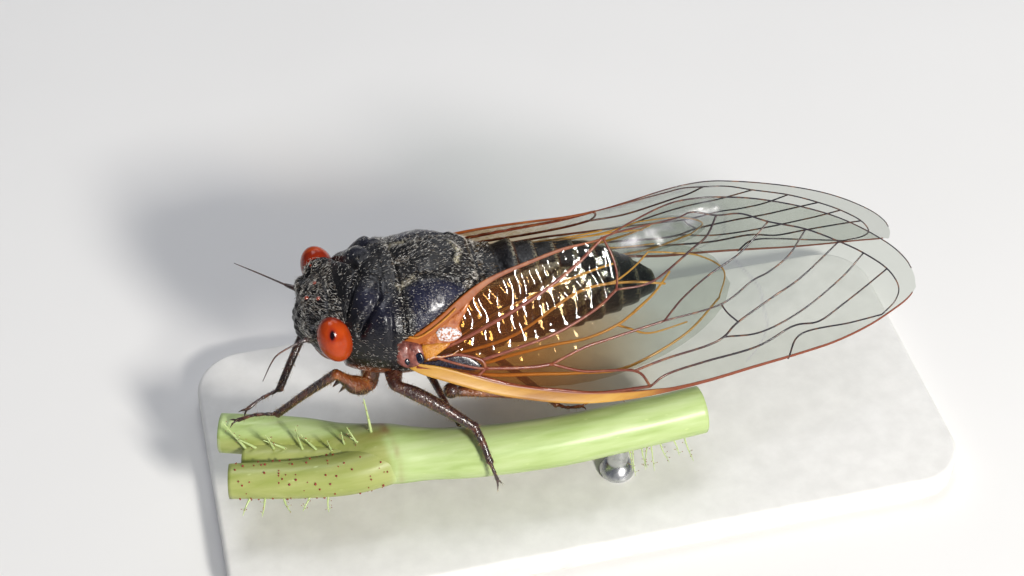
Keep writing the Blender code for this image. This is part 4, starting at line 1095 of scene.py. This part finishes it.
# The plates of the wing's root: outline along and across, lift, height, then how yellow, black and silver
rootPlates = [
    ([(0.74, 1.45), (1.46, 1.85), (2.35, 2.45), (3.11, 2.98), (3.71, 3.38), (3.50, 2.85), (3.18, 2.38),
      (2.98, 2.02), (3.05, 1.60), (2.79, 1.22), (2.29, 1.00), (1.54, 0.56), (1.07, 0.30), (0.86, 0.50),
      (0.74, 0.91)], 0.02, 0.10, (0.62, 0, 0)),
    ([(0.80, 1.20), (1.30, 1.22), (1.76, 1.20), (2.35, 1.08), (1.54, 0.52), (1.07, 0.27), (0.84, 0.48),
      (0.72, 0.90)], 0.09, 0.13, (1, 0, 0)),
    ([(1.60, 1.80), (1.83, 2.03), (2.32, 2.04), (2.85, 1.80), (3.05, 1.50), (2.80, 1.30), (2.30, 1.22),
      (1.76, 1.36)], 0.10, 0.10, (0.6, 0, 1)),
    ([(-0.30, 1.62), (0.27, 1.50), (0.80, 1.22), (0.95, 0.53), (0.60, 0.06), (-0.06, -0.06), (-0.62, 0.34),
      (-0.78, 0.86), (-0.62, 1.30)],
     -0.12, 0.42, (0, 0, 0)),
    ([(-0.18, 0.58), (-0.04, 0.56), (0.04, 0.34), (-0.07, 0.15), (-0.20, 0.26), (-0.26, 0.44)], 0.24, 0.10,
     (0, 1, 0)),
    ([(0.24, 0.80), (0.44, 0.92), (0.72, 0.78), (0.82, 0.34), (0.62, 0.16), (0.38, 0.34)], 0.18, 0.13,
     (0, 1, 0)),
    ([(0.60, 0.16), (0.90, 0.20), (1.51, 0.22), (2.14, 0.34), (2.95, 0.34), (3.62, 0.00), (4.06, -0.50),
      (3.60, -0.62), (2.64, -0.42), (1.75, -0.16), (1.10, 0.00), (0.66, 0.02)], 0.01, 0.04, (0, 0.96, 0)),
]
rootRidges = [
    (0.07, 0.06, [(-0.20, 1.84), (0.17, 1.73), (0.49, 1.65), (0.83, 1.72), (1.48, 2.06), (2.22, 2.54),
                  (2.83, 3.02)], (1, 0, 0)),
    (0.06, 0.03, [(1.00, 0.36), (1.33, 0.46), (1.88, 0.42), (2.37, 0.47), (2.74, 0.65)], (1, 0, 0.4)),
    (0.05, 0.04, [(0.10, 1.25), (0.16, 0.90), (0.10, 0.45)], (0, 0, 0.2)),
    (0.05, 0.04, [(-0.30, 1.30), (-0.26, 0.95), (-0.34, 0.60)], (0, 0, 0.2)),
]


def plateForm(outline, lift, height, side):
    line = smoothLine(outline + outline[:1], 0.02)
    middle = sum(line, Vector((0, 0))) / len(line)

    def place(a, t):
        rim = line[round((a % 1.0) * (len(line) - 1))]
        r = min(t / 0.8, 1.0) if t < 0.85 else (1 - t) / 0.15
        flat = middle.lerp(rim, r)
        high = lift + height * math.sqrt(max(1 - r ** 4, 0.0)) if t < 0.85 else lift - 0.14
        return mirrored(wingPoint(flat.x, flat.y, high), -side)
    return skin(72, 14, place)


def rootForm(side):
    forms, tints = [], []
    for outline, lift, height, tint in rootPlates:
        forms.append(plateForm(outline, lift, height, side))
        tints += [tint] * len(forms[-1].verts)
    for first, final, line, tint in rootRidges:
        forms.append(veinForm(smoothLine(line, 0.1), first, final, side, -0.16, 10, 1.0))
        tints += [tint] * len(forms[-1].verts)
    whole = joined(forms)
    layer = whole.verts.layers.float_color.new("paint")
    for v, tint in zip(whole.verts, tints):
        v[layer] = (*tint, 1.0)
    return whole


def bandThick(u):
    return 0.42 * costalHalf(u) + 0.02


def rimThick(u):
    return mix(0.16, 0.09, ease(u / 6.0))


def bandForms(side):  # the costal band, its upper edge darker, and the red-brown rim
    def bandPaint(p, n):
        u, v = wingMeasures(mirrored(p, -side))[:2]
        edge = ease((v - wingEdge(u)[0] - 1.52 * costalHalf(u)) / 0.12) * ease((u - 3.0) / 2.0)
        return max(edge, ease((u - 13.0) / 2.5)), 0.0, 0.0
    band = bandForm(side, 0.0, 31.3, costalMiddle, costalHalf, bandThick, 240)
    return painted(band, bandPaint), bandForm(side, -0.1, 11.75, rimMiddle, rimHalf, rimThick, 160)


print("wings")
edgeLine = [Vector((u, wingEdge(u)[1] - 0.03)) for u in [11.6 + 0.25 * k for k in range(79)]]
for side, label in ((-1, "left"), (1, "right")):
    for kind in membranes:
        sheet = membraneForm(side, kind)
        replaced = (kind + "wing_" + label,)
        piece(sheet, kind + "Membrane_" + label, finishes["membrane"], "wing", replaced, False)
    foreForms = [veinForm(veinLines[name], row[0], row[1], side) for name, row in veins.items()]
    piece(joined(foreForms), "foreVeins_" + label, finishes["vein"], "wing")
    hindForms = [veinForm(hindLines[name], row[0], row[1], side, wing["hindInset"], 6)
                 for name, row in hindVeins.items()]
    piece(joined(hindForms), "hindVeins_" + label, finishes["goldVein"], "wing")
    band, rim = bandForms(side)
    piece(band, "costalBand_" + label, finishes["band"], "wing")
    piece(rim, "clavusRim_" + label, finishes["rim"], "wing")
    piece(rootForm(side), "wingRoot_" + label, finishes["root"], "wing")
    piece(veinForm(edgeLine, 0.05, 0.035, side), "outerRim_" + label, finishes["vein"], "wing")

# Legs: each kind's knee and radii, then points along each leg
legKinds = {
    "fore": {"knee": 0.28, "coxaRadii": [0.58, 0.56, 0.42], "femurRadii": [0.34, 0.56, 0.54, 0.34, 0.27],
             "tibiaRadii": [0.30, 0.28, 0.25, 0.23, 0.23], "slot": "fore_femur"},
    "mid": {"knee": 0.30, "coxaRadii": [0.52, 0.50, 0.36], "femurRadii": [0.30, 0.41, 0.40, 0.33, 0.28],
            "tibiaRadii": [0.26, 0.25, 0.22, 0.20, 0.22], "slot": "leg"},
    "hind": {"knee": 0.46, "coxaRadii": [0.58, 0.55, 0.40], "femurRadii": [0.34, 0.46, 0.44, 0.38, 0.36],
             "tibiaRadii": [0.34, 0.27, 0.24, 0.22, 0.22], "slot": "leg"},
}
legs = {  # shins go on from the thighs' ends, feet from the shins'
    "fore_left": {"coxa": [(-2.1, -1.9, -5.6), (-2.25, -2.45, -6.8)],
                  "femur": [(-2.2, -2.5, -6.85), (-3.2, -3.1, -6.0), (-4.25, -3.35, -4.55)],
                  "tibia": [(-6.0, -2.75, -6.4), (-7.7, -2.25, -8.25)],
                  "tarsus": [(-8.9, -2.1, -8.15), (-10.0, -2.0, -8.45)]},
    "fore_right": {"coxa": [(-2.1, 1.9, -5.6), (-2.25, 2.35, -6.8)],
                   "femur": [(-2.2, 2.45, -6.83), (-3.25, 2.85, -6.3), (-4.3, 3.0, -5.2)],
                   "tibia": [(-5.9, 1.3, -6.8), (-7.3, -0.3, -8.35)],
                   "tarsus": [(-8.4, -0.75, -8.35), (-9.3, -1.15, -8.6)]},
    "mid_left": {"coxa": [(-1.0, -3.0, -5.0), (-1.15, -4.45, -5.1)],
                 "femur": [(-1.2, -4.5, -5.05), (0.0, -5.0, -5.6), (1.5, -5.75, -6.5), (2.87, -6.5, -7.4)],
                 "tibia": [(3.2, -7.25, -8.1), (3.45, -8.0, -8.95)],
                 "tarsus": [(3.6, -8.35, -9.45), (3.75, -8.45, -10.05)]},
    "mid_right": {"coxa": [(-0.6, 2.2, -6.0), (-0.5, 2.5, -7.25)],
                  "femur": [(-0.5, 2.5, -7.3), (0.4, 2.2, -8.5), (1.2, 1.7, -9.5)],
                  "tibia": [(1.8, -0.8, -9.75), (2.3, -3.2, -10.1)],
                  "tarsus": [(2.5, -3.75, -10.2), (2.8, -4.25, -10.6)]},
    "hind_left": {"coxa": [(3.3, -1.9, -6.0), (3.6, -2.2, -7.15)],
                  "femur": [(3.6, -2.3, -7.2), (2.9, -3.4, -6.9), (2.0, -4.6, -6.2)],
                  "tibia": [(5.8, -4.7, -7.45), (9.4, -4.85, -8.55)],
                  "tarsus": [(10.6, -4.95, -8.6), (11.6, -5.1, -8.65)]},
    "hind_right": {"coxa": [(3.3, 1.6, -6.0), (3.5, 1.8, -7.15)],
                   "femur": [(3.5, 1.8, -7.2), (4.1, 1.9, -8.3), (4.6, 1.8, -9.3)],
                   "tibia": [(6.6, -1.1, -9.6), (8.4, -3.9, -9.85)],
                   "tarsus": [(8.9, -4.4, -9.7), (9.6, -4.75, -9.4)]},
}
for label, leg in legs.items():
    leg["kind"], leg["side"] = label.split("_")
    leg.update(legKinds[leg["kind"]])
    leg["tibia"].insert(0, leg["femur"][-1])
    leg["tarsus"].insert(0, leg["tibia"][-1])


def clawForms(tarsus):
    end = Vector(tarsus[-1])
    way = (end - Vector(tarsus[-2])).normalized()
    aside = way.cross(Vector((0, 0, 1))).normalized()
    forms = []
    for k in (-1, 1):
        bend = end + (way + aside * 0.55 * k).normalized() * 0.34
        tip = end + (way + aside * 0.75 * k).normalized() * 0.62 + Vector((0, 0, -0.20))
        forms.append(limbForm([end, bend, tip], [0.075, 0.06, 0.02], 0.06, 8))
    return forms


def spurForms(leg):  # short spurs at the end of the shin
    a, b = Vector(leg["tibia"][-2]), Vector(leg["tibia"][-1])
    way = (b - a).normalized()
    aside = way.orthogonal().normalized()
    forms = []
    for k in range(5):
        out = Matrix.Rotation(2 * math.pi * k / 5, 3, way) @ aside
        root = b - way * 0.15 + out * 0.14
        tip = root + (way + out * 0.7).normalized() * 0.26
        forms.append(limbForm([root, tip], [0.05, 0.03, 0.008], 0.08, 6))
    return forms


def femurSpines(leg):  # the teeth below a fore thigh
    a, b = Vector(leg["femur"][0]), Vector(leg["femur"][-1])
    down = Vector((-1, -0.2 if leg["side"] == "left" else 0.2, -0.9)).normalized()
    forms = []
    for at, long in ((0.30, 0.40), (0.55, 0.66), (0.80, 0.42)):
        root = a.lerp(b, at) + down * 0.25
        forms.append(limbForm([root, root + down * (0.25 + long)], [0.17, 0.12, 0.03], 0.1, 10))
    return forms


def legForm(leg):
    forms = [limbForm(leg["coxa"], leg["coxaRadii"], 0.12, 20),
             limbForm(leg["femur"], leg["femurRadii"], 0.12, 20),
             ballForm(leg["tibia"][0], (leg["knee"],) * 3),
             limbForm(leg["tibia"], leg["tibiaRadii"], 0.14, 16)]
    foot = smoothLine(leg["tarsus"], 0.05)
    cuts = [0, int(0.25 * len(foot)), int(0.52 * len(foot)), len(foot) - 1]
    for a, b in zip(cuts, cuts[1:]):  # the three joints of the foot
        forms.append(tubeForm(foot[a:b + 1:2] if b - a > 4 else foot[a:b + 1], [0.085, 0.11, 0.125], 12))
    forms += spurForms(leg) + clawForms(leg["tarsus"])
    if leg["kind"] == "fore":
        forms += femurSpines(leg)
    bm = blended(forms, 0.045, 1)
    for v in bm.verts:
        v.co += v.normal * 0.012 * noise.fractal(v.co * 5.0, 1.0, 2.0, 3)
    return bm


def legPaint(leg):
    thigh, hip, shin = ([Vector(p) for p in leg[key]] for key in ("femur", "coxa", "tibia"))
    knee, way = shin[0], (shin[1] - shin[0]).normalized()

    def colourAt(p, n):  # how orange
        orange = 0.75 * ease((0.75 - lineGap(p, *hip)) / 0.3)
        if leg["kind"] == "mid":
            orange *= 0.25
        if leg["kind"] == "fore":
            near = min(lineGap(p, a, b) for a, b in zip(thigh, thigh[1:]))
            orange = max(orange, ease((0.68 - near) / 0.12) * ease((0.25 - (p - knee).dot(way)) / 0.3))
        if leg["kind"] == "hind":
            orange = max(orange, 0.7 * ease((p - knee).length / 0.8 - 0.4))
        return orange, 0.0, 0.0
    return colourAt


print("legs")
legCopies = []
for label, leg in legs.items():
    bm = painted(legForm(leg), legPaint(leg))
    legCopies.append(bm.copy())
    piece(bm, "leg_" + label, finishes["leg"], leg["slot"], ("femur_" + label, "tibia_" + label))

# Cane, with the twig that leaves it at the node
perch = {
    "cane": [(-11.0, -1.35, -10.0), (-8.8, -2.05, -10.0), (-6.6, -2.80, -10.0), (-4.5, -3.80, -10.0),
             (-2.1, -5.06, -10.0), (0.4, -5.70, -10.0), (3.3, -6.20, -10.0), (7.9, -6.50, -10.0),
             (13.4, -6.30, -10.0), (16.5, -6.10, -10.0)],
    "caneRadii": [1.15, 1.18, 1.20, 1.25, 1.72, 1.50, 1.48, 1.46, 1.42, 1.40],
    "twig": [(-11.0, -4.97, -10.1), (-7.1, -5.70, -10.15), (-4.2, -5.90, -10.15), (-1.9, -5.55, -10.05)],
    "twigRadii": [1.00, 1.10, 1.25, 1.40],
    "sheath": [(-10.0, -3.35, -10.45), (-8.0, -3.88, -10.40), (-6.0, -4.38, -10.35), (-4.0, -4.90, -10.30),
               (-2.5, -5.30, -10.20)],
    "sheathRadii": [0.85, 1.00, 1.05, 1.14, 1.20],
    "glands": 230,
}


def stemRadii(name):  # rows of x and radius
    return [(p[0], r) for p, r in zip(perch[name], perch[name + "Radii"])]


def stemForm(name, sides, ribs):
    path = smoothLine(perch[name], 0.22)
    rows = stemRadii(name)
    last = len(path) - 1
    ways = waysAlong(path)
    aside = [way.cross(Vector((0, 0, 1))).normalized() for way in ways]

    ends = (0.0, 0.5, 0.95, 1.0)  # the rings that close a cut end, as parts of the radius

    def place(u, v):
        k = round(v * (last + 6)) - 3
        i = min(max(k, 0), last)
        radius = rowAt(rows, path[i].x)[1] * ends[min(k + 3, last + 3 - k, 3)]
        a = 2 * math.pi * u
        c, s = math.cos(a), math.sin(a)
        rib = ribs * math.cos(a * 9 + 0.6 * math.sin(i * 0.05))
        radius *= 1 + rib + 0.010 * noise.noise(path[i] * 0.6 + Vector((c, s, 0)))
        return path[i] + (aside[i] * c + ways[i].cross(aside[i]) * s) * radius
    return skin(sides, last + 6, place)


def cutLine(x):  # the edge between the cane and the leaf base beside it
    return mix(-2.35, -4.9, (x + 11.0) / 9.0)


def canePaint(p, n):
    lean = p.x + 1.75 + 0.15 * (p.y + 5)  # how far beyond the node, whose ring lies askew
    node = bell(lean, 0.16)
    blush = bell(max(-lean, 0.0), 1.3) * ease((0.2 - lean) / 0.3)
    blush *= ease((p.y + 5.6) / 0.8) * ease((-3.2 - p.y) / 0.6)
    cut = 0.8 if abs(n.x) > 0.85 and (p.x < -10.8 or p.x > 16.3) else 0.0
    red = max(0.35 * node, 0.8 * blush) * (0.65 + 0.6 * noise.noise(p * 1.6))
    olive = ease((-0.2 - lean) / 0.5) * ease((cutLine(p.x) - p.y) / 0.5 + 0.5)
    return min(max(red, 0.0), 1.0), olive, cut


def glandForms():
    rng = random.Random(11)
    dots = []
    for name, share in (("twig", 0.7), ("sheath", 0.3)):
        path = smoothLine(perch[name], 0.2)
        rows = stemRadii(name)
        for _ in range(round(perch["glands"] * share)):
            i = rng.randrange(2, len(path) - 3)
            way = (path[i + 1] - path[i - 1]).normalized()
            aside = way.cross(Vector((0, 0, 1))).normalized()
            a = rng.uniform(0, 2 * math.pi) if name == "twig" else rng.uniform(0.9, 2.2)
            out = aside * math.cos(a) + way.cross(aside) * math.sin(a)
            root = path[i] + out * rowAt(rows, path[i].x)[1] * 0.985
            size = rng.uniform(0.035, 0.075)
            dots.append(ballForm(root + out * size * 0.6, (size,) * 3, 8, 6))
    return joined(dots)


fringe = {  # where bristles stand: steps along a path, or places
    "sheath": (1, 4, 9, 13, 17, 21, 25, 29, 33, 36), "twig": (5, 9, 14, 22, 27),
    "twigSide": (0, -0.85, -0.45), "nodeRoot": (-2.65, -4.75, -9.25),
    "underRoots": (11.9, 12.2, 12.7, 13.1, 13.3, 13.8, 14.6, 15.3),
}


def fringeRows(rng):  # root, length, way and radius of each bristle
    path, under = smoothLine(perch["sheath"], 0.2), smoothLine(perch["twig"], 0.2)
    rows = [(path[i] + Vector((0, rng.uniform(-0.1, 0.3), 0.80)), rng.uniform(1.5, 2.7),
             (-0.55, 0.0, 0.9), 0.085) for i in fringe["sheath"]]
    rows += [(under[i] + Vector(fringe["twigSide"]), rng.uniform(0.7, 1.2), (-0.3, -0.8, -0.5), 0.07)
             for i in fringe["twig"]]
    rows += [(Vector(fringe["nodeRoot"]), 3.5, (-0.10, 0.10, 1.0), 0.11)]
    return rows + [(Vector((x, -6.95, -11.10)), rng.uniform(1.2, 2.3), (0.15, -0.5, -1.0), 0.05)
                   for x in fringe["underRoots"]]


def fringeForms():  # soft green bristles with short side hairs and dark tips
    rng = random.Random(23)
    forms, tips = [], []
    for root, long, way, thick in fringeRows(rng):
        stray = Vector((rng.uniform(-0.4, 0.4), rng.uniform(-0.2, 0.2), 0.0)) * (0.2 if long > 3 else 1.0)
        bend = Vector((rng.uniform(-0.5, 0.5), rng.uniform(-0.2, 0.1), 0.0)) * (0.3 if long > 3 else 1.0)
        lean = (Vector(way) + stray).normalized()
        line = [root, root + lean * long * 0.5 + bend * 0.15, root + lean * long + bend * 0.6]
        forms.append(limbForm(line, [thick, thick * 0.7, thick * 0.3], 0.12, 8))
        for k in range(4):
            at = line[1].lerp(line[2], k / 4) if k else line[0].lerp(line[1], 0.6)
            out = Vector((rng.uniform(-1, 1), rng.uniform(-1, 0.4), rng.uniform(0, 1))).normalized()
            forms.append(limbForm([at, at + out * 0.22], [0.022, 0.012], 0.1, 5))
            tips.append(ballForm(at + out * 0.24, (0.028,) * 3, 8, 6))
    return joined(forms), joined(tips)


print("perch")
stems = joined([stemForm("cane", 72, 0.006), stemForm("twig", 60, 0.006), stemForm("sheath", 48, 0.010)])
piece(painted(stems, canePaint), "perchStem", finishes["cane"], "cane", ("perch_cane",))
piece(glandForms(), "stemGlands", finishes["gland"], "cane")
bristles, tips = fringeForms()
piece(painted(bristles, lambda p, n: (0.0, 0.0, 0.35)), "stemFringe", finishes["cane"], "cane")
piece(tips, "fringeTips", finishes["gland"], "cane")

# Stand
stand = {
    "size": (44.0, 20.0, 1.6), "corner": 3.0, "edge": 0.3,
    "rod": 0.62, "rodTop": -10.6, "collarRadii": [1.02, 1.05, 0.98],
    "rods": {"stand_rod_front": (-6.3, -2.92), "stand_rod_back": (11.5, -6.38)},
}


def baseForm():
    bm = bmesh.new()
    bmesh.ops.create_cube(bm, size=1.0)
    bmesh.ops.scale(bm, vec=stand["size"], verts=bm.verts)
    bmesh.ops.translate(bm, vec=standMiddle + Vector((0, 0, stand["size"][2] / 2)), verts=bm.verts)
    uprights = [e for e in bm.edges if abs(e.verts[0].co.z - e.verts[1].co.z) > 0.5]
    bmesh.ops.bevel(bm, geom=uprights, offset=stand["corner"], segments=16, profile=0.5, affect="EDGES",
                    material=-1)
    rims = [e for e in bm.edges if min(v.co.z for v in e.verts) > standMiddle.z + 1.0
            and len(e.link_faces) == 2 and e.calc_face_angle(0) > 1.0]
    bmesh.ops.bevel(bm, geom=rims, offset=stand["edge"], segments=6, profile=0.5, affect="EDGES", material=-1)
    return bm


def rodForm(x, y):
    low = standMiddle.z + stand["size"][2]
    rod = limbForm([(x, y, low - 0.1), (x, y, stand["rodTop"])], [stand["rod"]] * 2, 0.5, 40)
    collar = limbForm([(x, y, low + 0.02), (x, y, low + 0.34)], stand["collarRadii"], 0.08, 48)
    return joined([rod, collar])


print("stand")
basePlate = piece(baseForm(), "standPlate", finishes["base"], "stand_base", ("stand_base",))
basePlate.data.set_sharp_from_angle(angle=math.radians(50))
for name, (x, y) in stand["rods"].items():
    rod = piece(rodForm(x, y), name.replace("stand_", "post_"), finishes["steel"], "stand_rod", (name,))
    rod.data.set_sharp_from_angle(angle=math.radians(50))


# Where the hair grows: densities from 0 to 1
streaks = [(Vector(a), Vector(b), wide) for a, b, wide in (
    ((-0.25, 1.72), (0.75, 1.46), 0.12), ((3.20, 0.84), (3.58, 0.0), 0.10),
    ((-0.35, 0.15), (0.55, 0.05), 0.10), ((3.45, 2.25), (4.25, 1.50), 0.16),
    ((4.50, 1.75), (4.20, 2.45), 0.30))]


def headDensity(p, n):
    return 0.0 if p.z < -3.2 or p.x > -3.35 else 0.7


def backDensity(p, n):
    if n.z < -0.5 or p.x > 5.4 or p.x < -3.4:
        return 0.0
    y = abs(p.y)
    shine = sum(bell(math.hypot(p.x - x, y - at), 0.6)
                for x, at in ((-2.08, 1.88), (-1.36, 3.06)))
    front = ease((-0.4 - p.x) / 0.4) * ease((4.3 - y) / 0.4)
    return max(0.15, 0.75 + 0.25 * lobeShare(p) - 0.45 * front - 0.5 * shine)


def ringDensity(p, n):
    y = abs(p.y)
    if not (4.1 < p.x < 15.0) or p.z < -4.8:
        return 0.0
    if p.x < 5.6:
        return 0.9 * bell(math.hypot(p.x - 4.75, (y - 1.7) * 0.6), 0.5)
    return 0.5 * ease((ringPart(p.x) - 0.55) / 0.25) * (0.4 + 0.6 * ease((y - 0.8) / 1.2))


def streakDensity(p, n):
    flat = Vector((p.x, abs(p.y)))
    if n.z < 0.0 or not -0.6 < p.x < 5.0:
        return 0.0
    return max(bell(lineGap(flat, a, b), wide) for a, b, wide in streaks)


print("hair")
legSource = joined(legCopies)
coat("headHair", headCopy, headDensity, finishes["hair"], "black_cuticle")
coat("backHair", bodyCopy, backDensity, finishes["hair"], "black_cuticle")
coat("ringHair", bodyCopy, ringDensity, finishes["goldHair"], "abdomen")
coat("streakHair", bodyCopy, streakDensity, finishes["hair"], "black_cuticle")
coat("legHair", legSource, lambda p, n: 0.8, finishes["goldHair"], "leg")
for source in (legSource, headCopy, bodyCopy):
    source.free()

# Floor, lights and camera
def addFloor():
    bm = bmesh.new()
    bmesh.ops.create_grid(bm, x_segments=2, y_segments=2, size=1.5)
    ground = placed("floor", meshOf(bm, "floor"))
    ground.data.materials.append(finishes["floor"].material)


def addLight(name, towards, distance, size, power, colour, facing=None):  # metres and watts
    lamp = bpy.data.lights.new(name, "AREA")
    lamp.shape, lamp.size, lamp.energy, lamp.color = "SQUARE", size, power, colour
    obj = placed(name, lamp)
    way = Vector(towards).normalized()
    obj.location = way * distance + Vector((0, 0, 0.01))
    obj.rotation_euler = (Vector(facing).normalized() if facing else way).to_track_quat("Z", "Y").to_euler()


view = {  # degrees, millimetres and pixels, as worked out from the photo
    "azimuth": -13.5, "elevation": 45.0, "distance": 105.0, "focal": 1890.0, "sensor": 36.0,
    "picture": (1024, 576), "zeroAt": (396, 262),  # zeroAt: where the insect's zero lies in the picture
}


def addCamera():
    azimuth, elevation, focal = math.radians(view["azimuth"]), math.radians(view["elevation"]), view["focal"]
    right = Vector((math.cos(azimuth), math.sin(azimuth), 0.0))
    ahead = Vector((-math.sin(azimuth) * math.cos(elevation), math.cos(azimuth) * math.cos(elevation),
                    -math.sin(elevation)))
    up = right.cross(ahead)
    wide, high = view["picture"]
    across, above = (view["zeroAt"][0] - wide / 2) / focal, (high / 2 - view["zeroAt"][1]) / focal
    data = bpy.data.cameras.new("camera")
    data.sensor_width, data.lens = view["sensor"], focal / wide * view["sensor"]
    data.clip_start, data.clip_end = 0.005, 10.0
    obj = placed("camera", data)
    obj.location = intoFrame @ (-(ahead + right * across + up * above) * view["distance"])
    obj.rotation_euler = Matrix((right, up, -ahead)).transposed().to_euler()
    bpy.context.scene.camera = obj


def addWorld():
    world = bpy.data.worlds.new("studio")
    world.use_nodes = True
    sky = world.node_tree.nodes["Background"]
    sky.inputs["Color"].default_value = (0.86, 0.90, 1.0, 1.0)
    sky.inputs["Strength"].default_value = 0.20
    bpy.context.scene.world = world


addFloor()
addLight("key", (0.31, -0.81, 0.50), 0.26, 0.040, 0.80, (1.0, 0.97, 0.92))
addLight("top", (-0.1, 0.25, 1.0), 0.35, 0.14, 0.12, (0.76, 0.82, 1.0))
addLight("back", (0.6, 0.9, 0.7), 0.35, 0.20, 0.16, (0.90, 0.94, 1.0))
addLight("backdrop", (0.05, 0.45, 0.9), 0.80, 0.40, 1.9, (1.0, 1.0, 1.0), (0.0, -0.1, 1.0))
addWorld()
bpy.context.scene.view_settings.view_transform = "Standard"
addCamera()
